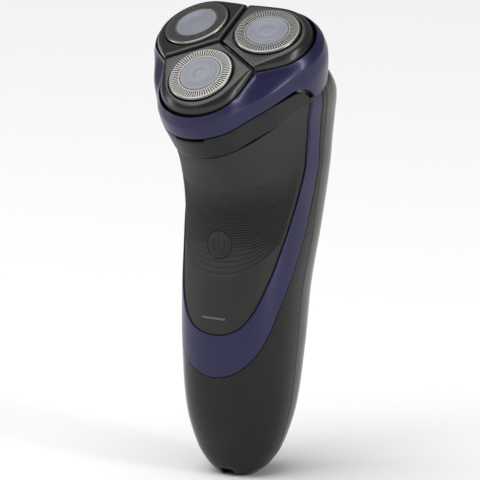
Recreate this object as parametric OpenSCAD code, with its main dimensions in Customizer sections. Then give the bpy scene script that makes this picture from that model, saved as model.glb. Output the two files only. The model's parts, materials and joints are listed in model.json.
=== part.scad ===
// Rotary electric shaver with three floating heads, a hinged shaving unit,
// a press-to-release collar, a pop-up trimmer and a recessed charging inlet.
// Millimetres, +Z up, button side towards -Y, origin at the centre of the bottom tip.

/* [Handle] */
// Heights of the handle's cross-sections above the tip
section_heights = [0, 3, 9, 22, 42, 62, 80, 92, 102, 110, 118, 126, 131, 135, 138];
// Half width of the handle at each section
section_half_widths = [6, 9.6, 13.8, 17.5, 19.2, 19.9, 21.5, 22, 22.4, 22.3, 23.4, 25.3, 25, 23.5, 20.5];
// Front line of the handle at each section
section_fronts = [-6.5, -9.5, -12, -15.7, -17.3, -17, -13.5, -15.2, -20, -26.9, -31.5, -33, -33.3, -33.5, -33.5];
// Back line of the handle at each section
section_backs = [6.2, 8.9, 11.6, 17, 21.5, 25, 28.6, 31.6, 32.7, 32.9, 33.2, 31.6, 28.5, 24.5, 20];
// How much the front of each section is narrower than its back
section_tapers = [0, 0, 0, 0, 0, 0, 0, 0.05, 0.15, 0.27, 0.28, 0.25, 0.25, 0.25, 0.25];
// Squareness of the cross-sections (2 is an ellipse)
section_power = 2.3; // [2:0.1:3]
// Wall of the handle shells
shell_wall = 2.4; // [1.8:0.1:2.8]
// Wall of the handle shells at the tip
tip_wall = 1.1; // [0.9:0.1:1.6]
// Depth of the recess that carries the grip and the accent band
recess_depth = 1.4; // [1.2:0.1:1.5]
// How far the accent band stands out from the grip
band_proud = 0.5; // [0.2:0.1:0.8]

/* [Front panel outlines] */
// Half angles of the grip's edge about the handle's axis
grip_angles = [0.6, 12, 24, 33, 43, 52, 58, 66, 76, 87, 92];
// Heights of the grip's edge at those angles
grip_heights = [49.2, 49.9, 51.8, 54.8, 60, 68, 77, 87, 95.4, 107, 126];
// Half angles of the accent band's lower edge
band_angles = [0.6, 14, 27, 42, 54, 65, 75, 80.5, 87, 95, 101];
// Heights of the accent band's lower edge at those angles
band_heights = [34.9, 35.9, 38.2, 42.7, 48.5, 56.3, 66, 79, 95, 110, 126];

/* [Front and rear shell joint] */
// Angle of the joint line behind the sides at its key heights
joint_angles = [1, 2, 3, 7, 14.5];
// Key heights of the joint line
joint_heights = [0, 60, 85, 100, 122];
// Gap between neighbouring outer shells
shell_gap = 0.12; // [0.06:0.02:0.3]

/* [Head position] */
// Height of the middle of the three shaving heads
head_z = 144.6; // [143:0.2:146]
// Distance of the middle of the heads in front of the handle's axis
head_reach = 11.74; // [11:0.1:12.5]
// Forward tilt of the head plane
head_tilt = 31.2; // [29:0.2:33]
// Depth of the joint plane between head and handle below the head plane
seam_depth = 23; // [22.6:0.1:23.6]
// Depth of the shaving unit's lower lip above the release collar
lip_depth = 13.3; // [12.8:0.1:13.8]

/* [Shaving heads] */
// Radius of the circle on which the three heads stand
ring_circle_r = 15.27; // [15:0.05:15.6]
// Outward lean of each shaving head
head_lean = 7; // [5:0.5:9]
// Outer radius of a slotted cap
cap_r = 10.75; // [10.4:0.05:11]
// Height of a slotted cap
cap_h = 3.3; // [3:0.1:3.6]
// Thickness of the slotted track
track_t = 0.4; // [0.3:0.05:0.6]
// Inner radius of the slotted track
track_in_r = 7.3; // [7:0.1:7.6]
// Number of hair slots in a cap
slot_count = 72; // [48:6:90]
// Width of a hair slot
slot_w = 0.32; // [0.24:0.02:0.36]
// Length of a hair slot
slot_len = 2.6; // [2:0.1:2.8]
// Radius of the plastic disc in the middle of a cap
disc_r = 6.9; // [6.4:0.1:7.1]
// How far a cap stands out from its petal
cap_proud = 0.8; // [0.4:0.1:1.2]
// Radial gap between a cap and its petal
cap_gap = 0.35; // [0.25:0.05:0.5]
// Travel of a floating cap
float_travel = 1.2; // [0.6:0.1:1.4]

/* [Cutters and drive] */
// Number of blades on a cutter
blade_count = 15; // [9:3:18]
// Mean radius of the blade ring
blade_r = 8.75; // [8.5:0.05:9]
// Running gap between cutter and cap
cutter_gap = 0.05; // [0.03:0.01:0.1]
// Depth of the drive coupling below the face of a cap
coupling_depth = 8; // [7.6:0.1:8.4]
// Teeth of the motor pinion
pinion_teeth = 18; // [12:3:18]
// Teeth of a drive gear
gear_teeth = 42; // [39:3:48]
// Thickness of the gears
gear_t = 2.4; // [1.8:0.1:2.8]
// Backlash of the gear teeth
backlash = 0.12; // [0.08:0.01:0.2]
// Running clearance of shafts in their bearings
shaft_gap = 0.06; // [0.03:0.01:0.1]
// Radius of the steel gear pins
gear_pin_r = 0.8; // [0.7:0.05:1]
// Radius of the motor
motor_r = 10.2; // [9.5:0.1:10.6]
// Length of the motor
motor_len = 25; // [22:0.5:27]
// Radius of the motor shaft
motor_shaft_r = 1; // [0.8:0.05:1.2]

/* [Petals and shaving unit] */
// Radius of the rounded outline of a petal
petal_r = 14.7; // [14.4:0.05:14.9]
// Thickness of a petal's top wall
petal_wall = 1.3; // [1:0.1:1.5]
// Width of the grooves between the petals
groove_w = 1; // [0.9:0.05:1.2]
// Distance of a groove's outer end from the middle
notch_r = 19; // [18.5:0.1:19.5]
// Gap between the petals and the shaving unit's rim
rim_gap = 0.35; // [0.25:0.05:0.5]
// Wall of the shaving unit's housing
housing_wall = 1.6; // [1.4:0.1:1.8]
// Depth of the carrier plate below the head plane
carrier_depth = 6.6; // [6.4:0.1:6.9]
// Thickness of the carrier plate
carrier_t = 1.4; // [1.2:0.1:1.5]
// Radius of the trunnions on which a petal tilts
trunnion_r = 0.8; // [0.6:0.05:0.9]

/* [Shaving unit hinge and release] */
// Distance of the shaving unit's hinge behind the handle's axis
hinge_y = 21.5; // [21.2:0.1:21.8]
// Height of the shaving unit's hinge
hinge_z = 134; // [133.7:0.1:134.2]
// Radius of the hinge pin
hinge_pin_r = 1; // [0.8:0.05:1.1]
// Travel of the release collar
release_travel = 0.6; // [0.4:0.05:0.7]
// Wall of the release collar
collar_wall = 2; // [1.8:0.1:2.2]

/* [Power button] */
// Height of the power button
button_z = 78.3; // [77:0.1:80]
// Radius of the power button
button_r = 4.5; // [4:0.1:5]
// Travel of the power button
button_travel = 0.8; // [0.5:0.05:0.9]
// Gap round the power button
button_gap = 0.2; // [0.15:0.01:0.3]

/* [Pop-up trimmer] */
// Width of the trimmer
trimmer_w = 20; // [18:0.5:21]
// Height of the trimmer door
trimmer_h = 17; // [16:0.5:18]
// Height of the trimmer's hinge
trimmer_z = 104; // [103:0.5:105]
// Number of comb teeth
comb_teeth = 21; // [15:2:25]
// Travel of the trimmer blade to each side
blade_travel = 0.6; // [0.3:0.05:0.7]
// Travel of the trimmer slide switch
switch_travel = 3; // [2:0.1:3.5]

/* [Charging inlet] */
// Half length of the inlet recess
inlet_half_l = 4.3; // [4.2:0.05:4.5]
// Half width of the inlet recess
inlet_half_w = 2.4; // [2.3:0.05:2.6]
// Depth of the inlet recess
inlet_depth = 9.5; // [9:0.1:10.5]
// Distance from the middle to a contact pin
contact_x = 2.1; // [1.9:0.05:2.3]
// Radius of a contact pin
contact_r = 0.8; // [0.7:0.05:0.9]
// Length of a contact pin in the recess
contact_len = 4.8; // [4.4:0.1:4.9]

/* [Hidden] */
$fn = 64;
INDIGO = [0.20, 0.19, 0.34];
GRIP_GREY = [0.22, 0.22, 0.21];
GLOSS_BLACK = [0.13, 0.13, 0.13];
BROWN_GREY = [0.20, 0.18, 0.17];
SATIN_GREY = [0.24, 0.26, 0.27];
STEEL = [0.72, 0.73, 0.75];
DISC_BLUE = [0.66, 0.67, 0.72];
FRAME_GREY = [0.45, 0.47, 0.50];
ring_angles = [270, 30, 150];
notch_angles = [90, 210, 330];

// ---- numbers that follow from the driving dimensions ----
spindle_r = ring_circle_r - coupling_depth * sin(head_lean); // where a spindle stands
coupling_h = -coupling_depth * cos(head_lean);               // height of the coupling in the head frame
gear_module = 2 * spindle_r / (pinion_teeth + gear_teeth);
gear_out_r = gear_module * (gear_teeth / 2 + 1);
deck_t = 1.6;
deck_h = -(seam_depth + 0.2);          // top of the deck
gear_top_h = deck_h - deck_t - 0.3;
gear_low_h = gear_top_h - gear_t;
plate_t = 1.6;
plate_h = gear_low_h - 0.3;            // top of the gear plate
motor_top_h = plate_h - plate_t;
hub_r = 2.6;
hub_top_h = -17;
stem_r = 1.6;
stem_low_h = -19.6;
tip_r = 1.3;
flange_r = cap_r + 0.9;                // cap flange that rests under the petal
flange_t = 0.8;
petal_top = -cap_proud;                // petal surface in the frame of its head
flange_top = petal_top - petal_wall - 0.05;
bridge_t = 2;
bridge_h = -carrier_depth;             // underside of the three-armed bridge
joint_gap = 0.3;                       // gap in the plane between head and handle

// ---- curves and interpolation ----
function seg(xs, x, i = 0) = i >= len(xs) - 2 || x < xs[i + 1] ? i : seg(xs, x, i + 1);
function grad(xs, v, i) =
    i == 0 ? (v[1] - v[0]) / (xs[1] - xs[0])
    : i == len(xs) - 1 ? (v[i] - v[i - 1]) / (xs[i] - xs[i - 1])
    : (v[i + 1] - v[i - 1]) / (xs[i + 1] - xs[i - 1]);
// smooth curve through the points (xs, v)
function curve(xs, v, x) =
    let (i = seg(xs, x), w = xs[i + 1] - xs[i], t = (x - xs[i]) / w)
    v[i] * (1 + 2 * t) * (1 - t) * (1 - t) + grad(xs, v, i) * w * t * (1 - t) * (1 - t)
    + v[i + 1] * t * t * (3 - 2 * t) - grad(xs, v, i + 1) * w * t * t * (1 - t);
function mix(a, b, t) = a + (b - a) * t;
function clamp(x, a, b) = min(max(x, a), b);
function rounded_step(x) = let (t = clamp(x, 0, 1)) t * t * (3 - 2 * t);
function signed_pow(x, p) = sign(x) * pow(abs(x), p);

// point of the handle's surface at an angle and height, sunk by d
function handle_point(angle, z, d = 0) =
    let (
        a = curve(section_heights, section_half_widths, z) - d,
        f = curve(section_heights, section_fronts, z) + d,
        b = curve(section_heights, section_backs, z) - d,
        k = curve(section_heights, section_tapers, z),
        yc = mix(f, b, 0.52),
        c = signed_pow(cos(angle), 2 / section_power),
        s = signed_pow(sin(angle), 2 / section_power),
        y = yc + s * (s > 0 ? b - yc : yc - f)
    )
    [a * c * (1 + k * (y - yc) / ((b - f) / 2)), y, z];
// height in the head frame of a point of the shaver
function head_height(p) = -(p[1] + head_reach) * sin(head_tilt) + (p[2] - head_z) * cos(head_tilt);
// height at which the surface at an angle passes a plane h in the head frame
function height_at(angle, d, h, low = 90, high = 138, n = 12) =
    n == 0 ? (low + high) / 2
    : let (mid = (low + high) / 2)
      head_height(handle_point(angle, mid, d)) > h ? height_at(angle, d, h, low, mid, n - 1)
      : height_at(angle, d, h, mid, high, n - 1);
function top_at(angle, d = 0) = height_at(angle, d, -seam_depth);
function joint_angle(z) = curve(joint_heights, joint_angles, z);
// wall of the shells, thinner at the tip
function wall_at(z) = mix(tip_wall, shell_wall, rounded_step(z / 7));

// ---- solids from rows of points ----
// triangles between rows of points that are closed loops
function wrap_faces(rows, cols, closed = false) =
    [for (i = [0 : rows - (closed ? 1 : 2)], j = [0 : cols - 1])
        let (k = (i + 1) % rows, l = (j + 1) % cols)
        each [[i * cols + j, k * cols + j, k * cols + l], [i * cols + j, k * cols + l, i * cols + l]]];
// triangles that close the first and last loop of a wall: outer half, then inner half backwards
function wall_caps(rows, cols) =
    let (m = cols / 2, t = (rows - 1) * cols)
    [for (j = [0 : m - 2])
        each [[j, j + 1, cols - 2 - j], [j, cols - 2 - j, cols - 1 - j],
              [t + j, t + cols - 2 - j, t + j + 1], [t + j, t + cols - 1 - j, t + cols - 2 - j]]];
function flat_caps(rows, cols) =
    [[for (j = [0 : cols - 1]) j], [for (j = [cols - 1 : -1 : 0]) (rows - 1) * cols + j]];
function flatten(rows) = [for (row = rows) each row];
// a wall whose rows are an outer half and an inner half
module wall_solid(rows) {
    cols = len(rows[0]);
    polyhedron(flatten(rows), concat(wrap_faces(len(rows), cols), wall_caps(len(rows), cols)));
}
// a solid bounded by flat first and last loops
module stacked_solid(rows) {
    cols = len(rows[0]);
    polyhedron(flatten(rows), concat(wrap_faces(len(rows), cols), flat_caps(len(rows), cols)));
}
// a closed band whose last row meets its first
module ring_solid(rows) {
    cols = len(rows[0]);
    polyhedron(flatten(rows), wrap_faces(len(rows), cols, true));
}
function reversed(v) = [for (i = [len(v) - 1 : -1 : 0]) v[i]];

// ---- frames ----
module in_head() {
    translate([0, -head_reach, head_z]) rotate([head_tilt, 0, 0]) children();
}
module at_ring(i) {
    in_head() rotate([0, 0, ring_angles[i]]) translate([ring_circle_r, 0, 0]) rotate([0, head_lean, 0])
        children();
}
module at_spindle(i) {
    in_head() rotate([0, 0, ring_angles[i]]) translate([spindle_r, 0, 0]) children();
}
module tube(r_out, r_in, h) {
    difference() {
        cylinder(r = r_out, h = h);
        translate([0, 0, -1]) cylinder(r = r_in, h = h + 2);
    }
}

// ---- handle shells ----
level_z = 78;    // rows above this height lean towards the joint plane
side_top = 126;  // nominal height of the last row
function row_height(z, angle, d) =
    z <= level_z ? z
    : level_z + (top_at(angle, d) - level_z) * (z - level_z) / (side_top - level_z);
function skin_point(angle, z, d) = handle_point(angle, row_height(z, angle, d), d);
shell_rows = [0, 1.2, 3, 5.5, 9, 14, 20, 27, 34.8, 35, 37, 40, 44, 49, 55, 62, 70, 78, 86, 94, 102, 110,
    118, 126];

function front_angles(z) =
    let (
        edge = z < band_heights[0] ? 14 : curve(band_heights, band_angles, z),
        side = 90 + joint_angle(z) - shell_gap / 2
    )
    concat([for (t = [0 : 0.25 : 0.75]) mix(side, edge + 0.7, t)], [edge + 0.35, edge],
        [for (t = [0.8 : -0.2 : 0]) edge * t]);
function front_row(z) =
    let (
        half = front_angles(z),
        angles = concat(-half, [for (i = [len(half) - 2 : -1 : 0]) half[i]]),
        last = len(angles) - 6
    )
    concat(
        [for (i = [0 : len(angles) - 1])
            skin_point(angles[i] - 90, z,
                z >= band_heights[0] && i > 4 && i < last + 1 ? recess_depth : 0)],
        [for (a = reversed(angles)) skin_point(a - 90, z, wall_at(z))]
    );
// room in the wall beside the drive gears
module gear_room() {
    for (i = [0 : 2]) at_spindle(i) translate([0, 0, gear_low_h - 0.4])
        cylinder(r = gear_out_r + 0.4, h = gear_t + 0.8);
}
module front_shell() color(GLOSS_BLACK) {
    difference() {
        wall_solid([for (z = shell_rows) front_row(z)]);
        gear_room();
        button_column(button_r + button_gap, 9);
        light_slot(0.1);
        inlet_notch();
    }
}
function rear_row(z) =
    let (
        side = joint_angle(z) + shell_gap / 2,
        angles = [for (t = [0 : 1 / 18 : 1.001]) mix(side, 180 - side, t)]
    )
    concat([for (a = angles) skin_point(a, z, 0)],
        [for (a = reversed(angles)) skin_point(a, z, wall_at(z))]);
hinge_x = 9;       // middle of a hinge lug
lug_w = 5;
lug_eye_r = 2.1;
knuckle_r = 2.7;
module along_hinge(x, w) {
    translate([x - w / 2, hinge_y, hinge_z]) rotate([0, 90, 0]) children();
}
module rear_shell() color(BROWN_GREY) {
    difference() {
        union() {
            wall_solid([for (z = shell_rows) rear_row(z)]);
            for (x = [-13.4, 0, 13.4])
                along_hinge(x, x == 0 ? 12 : 3) cylinder(r = knuckle_r, h = x == 0 ? 12 : 3);
            trimmer_bosses();
        }
        along_hinge(0, 32) cylinder(r = hinge_pin_r + 0.02, h = 32);
        gear_room();
        for (x = [-hinge_x, hinge_x]) lug_slot(x);
        trimmer_opening();
        switch_opening();
        at_trimmer() along_trimmer(trimmer_pin_r + 0.02, trimmer_w + 6);
    }
}
// room for a lug of the shaving unit and its swing to the back
module lug_slot(x) {
    w = lug_w + 0.5;
    along_hinge(x, w) linear_extrude(w) {
        circle(r = lug_eye_r + 0.35);
        rotate(180 + head_tilt) translate([-0.2, -9]) square([12, 12]);
    }
}
module hinge_pin() color(STEEL) along_hinge(0, 29) cylinder(r = hinge_pin_r, h = 29);

// ---- grip, accent band, charge light ----
seat_depth = recess_depth - 0.35;   // underside of the grip and of the band
function spread(v, n) = [for (i = [0 : (len(v) - 1) * n]) let (k = min(floor(i / n), len(v) - 2))
    mix(v[k], v[k + 1], i / n - k)];
edge_steps = 2;
grip_edge_a = spread(grip_angles, edge_steps);
grip_edge_z = spread(grip_heights, edge_steps);
band_edge_a = spread(band_angles, edge_steps);
band_edge_z = spread(band_heights, edge_steps);
module grip_panel() color(GRIP_GREY) {
    across = [for (p = [-1 : 0.125 : 1]) p];
    rows = [for (i = [0 : len(grip_edge_z) - 1])
        let (a = grip_edge_a[i] - (shell_gap + 0.1), z = grip_edge_z[i] + (i == 0 ? 0.2 : 0))
        concat([for (p = across) skin_point(p * a - 90, z, band_proud)],
            [for (p = reversed(across)) skin_point(p * a - 90, z, seat_depth)])];
    difference() {
        wall_solid(rows);
        button_column(button_r + button_gap, 9);
        light_slot(0.1);
    }
}
// the band is a U of rows that run from its inner to its outer edge
function band_row(i, side) =
    let (
        inner = [grip_edge_a[i] + 0.15, grip_edge_z[i] - (i < 3 ? 0.15 : 0)],
        outer = [band_edge_a[i] - 0.4, band_edge_z[i] + (i < 3 ? 0.3 : 0)],
        steps = [0, 0.5, 1]
    )
    concat(
        [for (t = steps) skin_point(side * mix(inner[0], outer[0], t) - 90, mix(inner[1], outer[1], t),
            0)],
        [for (t = reversed(steps)) skin_point(side * mix(inner[0], outer[0], t) - 90,
            mix(inner[1], outer[1], t), seat_depth)]
    );
module accent_band() color(INDIGO) {
    last = len(grip_edge_a) - 1;
    wall_solid(concat(
        [for (i = [last : -1 : 0]) band_row(i, 1)],
        [for (i = [0 : last]) band_row(i, -1)]
    ));
}
light_z = 54.7;
light_w = 8.9;
light_h = 0.9;
module light_slot(gap) {
    translate([-light_w / 2 - gap, -24, light_z - light_h / 2 - gap])
        cube([light_w + 2 * gap, 12, light_h + 2 * gap]);
}
module charge_light() color([0.85, 0.86, 0.84]) {
    intersection() {
        light_slot(0);
        wall_solid([for (z = [52, 54.7,
            58]) concat([for (a = [-24 : 8 : 24]) handle_point(a - 90, z, band_proud + 0.1)],
            [for (a = [24 : -8 : -24]) handle_point(a - 90, z, shell_wall + 0.4)])]);
    }
}

// ---- power button ----
button_y = handle_point(-90, button_z)[1];
module button_column(r, depth) {
    translate([0, button_y - 3, button_z]) rotate([-90, 0, 0]) cylinder(r = r, h = depth);
}
module power_button() color(SATIN_GREY) {
    face = button_y + band_proud + 0.1;
    difference() {
        union() {
            translate([0, face, button_z]) rotate([-90, 0, 0]) cylinder(r = button_r, h = 2.6);
            translate([0, face + 2.6, button_z]) rotate([-90, 0, 0])
                cylinder(r = button_r + 0.8, h = 0.5);
            translate([0, face + 2.6, button_z]) rotate([-90, 0, 0])
                cylinder(r = 1.6, h = 0.5 + switch_gap());
        }
        translate([0, face, button_z]) rotate([-90, 0, 0]) difference() {
            translate([0, 0, -1]) cylinder(r = button_r - 0.6, h = 1.3);
            translate([0, 0, -2]) cylinder(r = button_r - 1, h = 4);
        }
    }
}
board_y = -7;
board_t = 1.2;
function switch_gap() = board_y - 1.5 - button_travel - 0.05 - (button_y + band_proud + 3.2);
module button_switch() color([0.1, 0.1, 0.1]) {
    translate([-2.5, board_y - 1.1, button_z - 2.5]) cube([5, 1.1, 5]);
    translate([0, board_y - 1.5, button_z]) rotate([-90, 0, 0]) cylinder(r = 1.2, h = 0.5);
}

// ---- inner frame, board, cell, motor ----
board_low = 24;
board_high = 92;
board_half_w = 11;
module circuit_board() color([0.1, 0.35, 0.2]) {
    difference() {
        translate([-board_half_w, board_y, board_low])
            cube([2 * board_half_w, board_t, board_high - board_low]);
        for (z = [board_low + 3, board_high - 3]) translate([8, board_y - 1, z]) rotate([-90, 0, 0])
            cylinder(r = 1, h = 4);
    }
    translate([-6, board_y - 1.6, 62]) cube([7, 1.6, 7]);
    translate([-7, board_y - 1.2, 36]) cube([4, 1.2, 6]);
}
spine_y = board_y + board_t + 0.05;
spine_t = 1.5;
cell_r = 7;
cell_low = 30;
cell_len = 49;
cell_y = spine_y + spine_t + cell_r + 0.35;
module inner_frame() color(FRAME_GREY) {
    difference() {
        union() {
            translate([-11.5, spine_y, 14]) cube([23, spine_t, 101.5]);
            for (z = [cell_low + 2, cell_low + cell_len - 8]) translate([0, 0, z]) {
                intersection() {
                    translate([0, cell_y, 0]) tube(cell_r + 1.5, cell_r + 0.2, 6);
                    translate([-12, spine_y, 0]) cube([24, cell_r + 6, 6]);
                }
                translate([-4, spine_y, 0]) cube([8, spine_t + 0.9, 6]);
            }
            translate([-10, spine_y, cell_low - 1.7]) cube([20, 2 * cell_r, 1.5]);
            translate([-10, spine_y, cell_low + cell_len + 0.2]) cube([20, 2 * cell_r, 1.5]);
        }
        translate([0, cell_y, cell_low]) cylinder(r = cell_r + 0.2, h = cell_len);
        in_head() translate([-20, -30, plate_h - plate_t - 0.05]) cube([40, 60, 20]);
        in_head() translate([0, 0, motor_top_h - motor_len - 1])
            cylinder(r = motor_r + 0.3, h = motor_len + 2);
        for (z = [board_low + 3, board_high - 3]) translate([8, spine_y - 1, z]) rotate([-90, 0, 0])
            cylinder(r = 0.8, h = 5);
    }
}
module board_screws() color(STEEL) {
    for (z = [board_low + 3, board_high - 3]) translate([8, board_y - 1, z]) rotate([-90, 0, 0]) {
        cylinder(r = 1.7, h = 0.98);
        cylinder(r = 0.78, h = 3.6);
    }
}
module battery_cell() color([0.2, 0.45, 0.35]) {
    translate([0, cell_y, cell_low + 0.05]) cylinder(r = cell_r, h = cell_len - 1.5);
    translate([0, cell_y, cell_low + cell_len - 1.5]) cylinder(r = 2.6, h = 1.4);
}
module motor() color(STEEL) {
    in_head() translate([0, 0, motor_top_h - 0.05]) mirror([0, 0, 1]) difference() {
        union() {
            cylinder(r = motor_r, h = motor_len);
            translate([0, 0, motor_len]) cylinder(r = 3, h = 1.5);
        }
        translate([0, 0, -1]) cylinder(r = motor_shaft_r + shaft_gap, h = 8);
    }
}
module gear_plate() color(FRAME_GREY) {
    in_head() translate([0, 0, plate_h - plate_t]) difference() {
        union() {
            cylinder(r = post_r + 2.1, h = plate_t);
            for (i = [0 : 2]) rotate([0, 0, ring_angles[i]]) translate([spindle_r, 0, 0])
                cylinder(r = 4, h = plate_t);
            for (a = notch_angles) rotate([0, 0, a]) translate([post_r, 0, 0])
                cylinder(r = 2.1, h = plate_t + gear_t + 0.55);
        }
        translate([0, 0, -1]) cylinder(r = motor_shaft_r + 1, h = 6);
        for (i = [0 : 2]) rotate([0, 0, ring_angles[i]]) translate([spindle_r, 0, -1])
            cylinder(r = gear_pin_r, h = 6);
        for (a = notch_angles) rotate([0, 0, a]) translate([post_r, 0, -1]) cylinder(r = 0.8, h = 9);
    }
}
post_r = 14.2;
module gear_pins() color(STEEL) {
    for (i = [0 : 2]) at_spindle(i) translate([0, 0, plate_h - plate_t])
        cylinder(r = gear_pin_r - 0.01, h = 6.6);
}
module deck_screws() color(STEEL) {
    in_head() for (a = notch_angles) rotate([0, 0, a]) translate([post_r, 0, deck_h - deck_t - 3.5]) {
        cylinder(r = 0.75, h = deck_t + 3.6);
        translate([0, 0, deck_t + 3.54]) cylinder(r = 1.8, h = 1);
    }
}
bowl_gap = 3.4;     // from the outside of the shaving unit to the chamber wall
bowl_wall = 1.2;
bowl_top_h = -17.4;
bowl_low_h = -seam_depth + 0.06;
module drive_deck() color(FRAME_GREY) {
    difference() {
        stacked_solid([for (h = [deck_h - deck_t, deck_h])
            [for (a = [0 : 7.5 : 352.5]) handle_point(a, height_at(a, shell_wall + 0.8, h),
                shell_wall + 0.8)]]);
        in_head() for (i = [0 : 2]) rotate([0, 0, ring_angles[i]]) translate([spindle_r, 0, deck_h - 5])
            cylinder(r = hub_r + shaft_gap, h = 10);
        in_head() for (a = notch_angles) rotate([0, 0, a]) translate([post_r, 0, deck_h - 5])
            cylinder(r = 0.8, h = 10);
        in_head() translate([-16, 19.2, deck_h - 5]) cube([32, 20, 10]);
    }
}
module hair_chamber() color(FRAME_GREY) {
    in_head() ring_solid([
        for (p = [[0, bowl_low_h], [0, bowl_top_h], [bowl_wall, bowl_top_h], [bowl_wall, bowl_low_h]])
            [for (a = [0 : 7.5 : 352.5])
                let (r = head_radius(a, 20) - bowl_gap - p[0]) [r * cos(a), r * sin(a), p[1]]]
    ]);
}

// ---- gears ----
function involute(rb, r) = let (t = sqrt(max(pow(r / rb, 2) - 1, 0))) t * 180 / PI - atan(t);
function gear_outline(teeth, m) =
    let (
        rp = m * teeth / 2, rb = rp * cos(22), ra = rp + m, rf = rp - 1.25 * m,
        half = 90 / teeth - backlash / 2 / rp * 180 / PI,
        radii = [for (t = [0 : 0.25 : 1]) mix(max(rb, rf), ra, t)],
        flank = [for (r = radii) half + involute(rb, rp) - involute(rb, r)]
    )
    [for (k = [0 : teeth - 1]) let (c = k * 360 / teeth)
        each concat(
            [[rf * cos(c - flank[0]), rf * sin(c - flank[0])]],
            [for (i = [0 : len(radii) - 1]) radii[i] * [cos(c - flank[i]), sin(c - flank[i])]],
            [for (i = [len(radii) - 1 : -1 : 0]) radii[i] * [cos(c + flank[i]), sin(c + flank[i])]],
            [[rf * cos(c + flank[0]), rf * sin(c + flank[0])]]
        )];
module motor_pinion() color(STEEL) {
    in_head() {
        translate([0, 0, gear_low_h]) rotate([0, 0, ring_angles[0]]) linear_extrude(gear_t)
            polygon(gear_outline(pinion_teeth, gear_module));
        translate([0, 0, motor_top_h - 5])
            cylinder(r = motor_shaft_r, h = gear_low_h - motor_top_h + 5.2);
    }
}
module drive_gear(i) color([0.85, 0.85, 0.80]) {
    at_spindle(i) difference() {
        union() {
            translate([0, 0, gear_low_h]) rotate([0, 0, gear_teeth % 2 == 0 ? 180 / gear_teeth : 0])
                linear_extrude(gear_t) polygon(gear_outline(gear_teeth, gear_module));
            translate([0, 0, gear_low_h]) cylinder(r = hub_r, h = hub_top_h - gear_low_h);
        }
        translate([0, 0, gear_low_h - 1]) cylinder(r = gear_pin_r + shaft_gap, h = 20);
        translate([0, 0, stem_low_h - float_travel - 0.6]) cylinder(r = stem_r + shaft_gap, h = 10);
        for (a = [0 : 60 : 300]) rotate([0, 0, a])
            translate([(hub_r + gear_out_r) / 2, 0, gear_low_h - 1])
            cylinder(r = 1.9, h = gear_t + 2);
    }
}
module drive_spindle(i) color([0.85, 0.85, 0.80]) {
    at_spindle(i) rotate_extrude() polygon([
        [0, stem_low_h], [stem_r, stem_low_h], [stem_r, coupling_h - 3.6], [2.3, coupling_h - 3.6],
        [2.3, coupling_h - 2.8], [stem_r, coupling_h - 2.8], [stem_r, coupling_h - 0.7],
            [tip_r, coupling_h + 0.8],
        [0, coupling_h + 0.8]
    ]);
}

// ---- slotted caps and cutters ----
module slot_ring(r, len, w) {
    for (k = [0 : slot_count - 1]) rotate(k * 360 / slot_count) translate([r - len / 2, -w / 2])
        square([len, w]);
}
module shaving_cap(i) color(STEEL) {
    at_ring(i) {
        translate([0, 0, -track_t]) linear_extrude(track_t) difference() {
            circle(r = cap_r - 0.5);
            circle(r = disc_r + 0.1);
            slot_ring(blade_r, slot_len, slot_w);
        }
        rotate_extrude() polygon([
            [cap_r - 0.5, 0], [cap_r - 0.15, -0.15], [cap_r, -0.5], [cap_r, flange_top],
            [flange_r, flange_top], [flange_r, flange_top - flange_t],
                [cap_r - 0.45, flange_top - flange_t],
            [cap_r - 0.45, -track_t], [cap_r - 0.5, -track_t]
        ]);
    }
}
module cap_disc(i) color(DISC_BLUE) {
    at_ring(i) rotate_extrude() polygon([
        [0, 0.1], [2.2, 0.1], [2.3, 0], [4, 0], [4.1, 0.1], [5.6, 0.1], [5.8, 0.25],
            [disc_r - 0.3, 0.25],
        [disc_r, 0], [disc_r, -track_t - 0.5], [0, -track_t - 0.5]
    ]);
}
module cutter(i) color([0.8, 0.8, 0.78]) {
    top = -track_t - cutter_gap;
    at_ring(i) difference() {
        union() {
            for (k = [0 : blade_count - 1]) rotate([0, 0, k * 360 / blade_count])
                translate([blade_r - 1.2, -0.35, top - 2.4]) cube([2.4, 0.7, 2.4]);
            translate([0, 0, top - 2.9]) cylinder(r = blade_r + 1.2, h = 0.8);
            translate([0, 0, -coupling_depth - 0.8])
                cylinder(r = 4.2, h = coupling_depth + 0.8 + top - 2.5);
        }
        translate([0, 0, -coupling_depth - 0.81]) cylinder(r1 = 3.6, r2 = 2.2, h = 2);
        translate([0, 0, -coupling_depth + 1.1]) cylinder(r = 2.2, h = 1.2);
    }
}

// ---- outline of the shaving unit in the head frame ----
// depth, corner radius and the corners' distance from the middle at the front and at the back
profile_depths = [7, 9.5, 13.3, 18, 23];
corner_radii = [16, 16.6, 16.7, 16, 15.1];
front_reaches = [15.27, 15.27, 15.27, 15.5, 15.9];
back_reaches = [15.27, 15.27, 15.2, 14.7, 13.9];
side_bulge = 0.7;
// distance from the middle of a triangle with round corners of radius r at distance c
function corner_radius(angle, r, c) =
    let (
        off = abs((angle + 750) % 120 - 60),
        tangent = atan2(r * sin(60), c + r * cos(60))
    )
    off < tangent ? c * cos(off) + sqrt(r * r - pow(c * sin(off), 2))
    : (c / 2 + r) / cos(60 - off) + side_bulge * pow(sin(90 * (off - tangent) / (60 - tangent)), 2);
function head_radius(angle, depth) =
    let (front = rounded_step(0.5 - 0.8 * sin(angle)))
    corner_radius(angle, curve(profile_depths, corner_radii, depth),
        mix(curve(profile_depths, back_reaches, depth), curve(profile_depths, front_reaches, depth),
            front));
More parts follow.
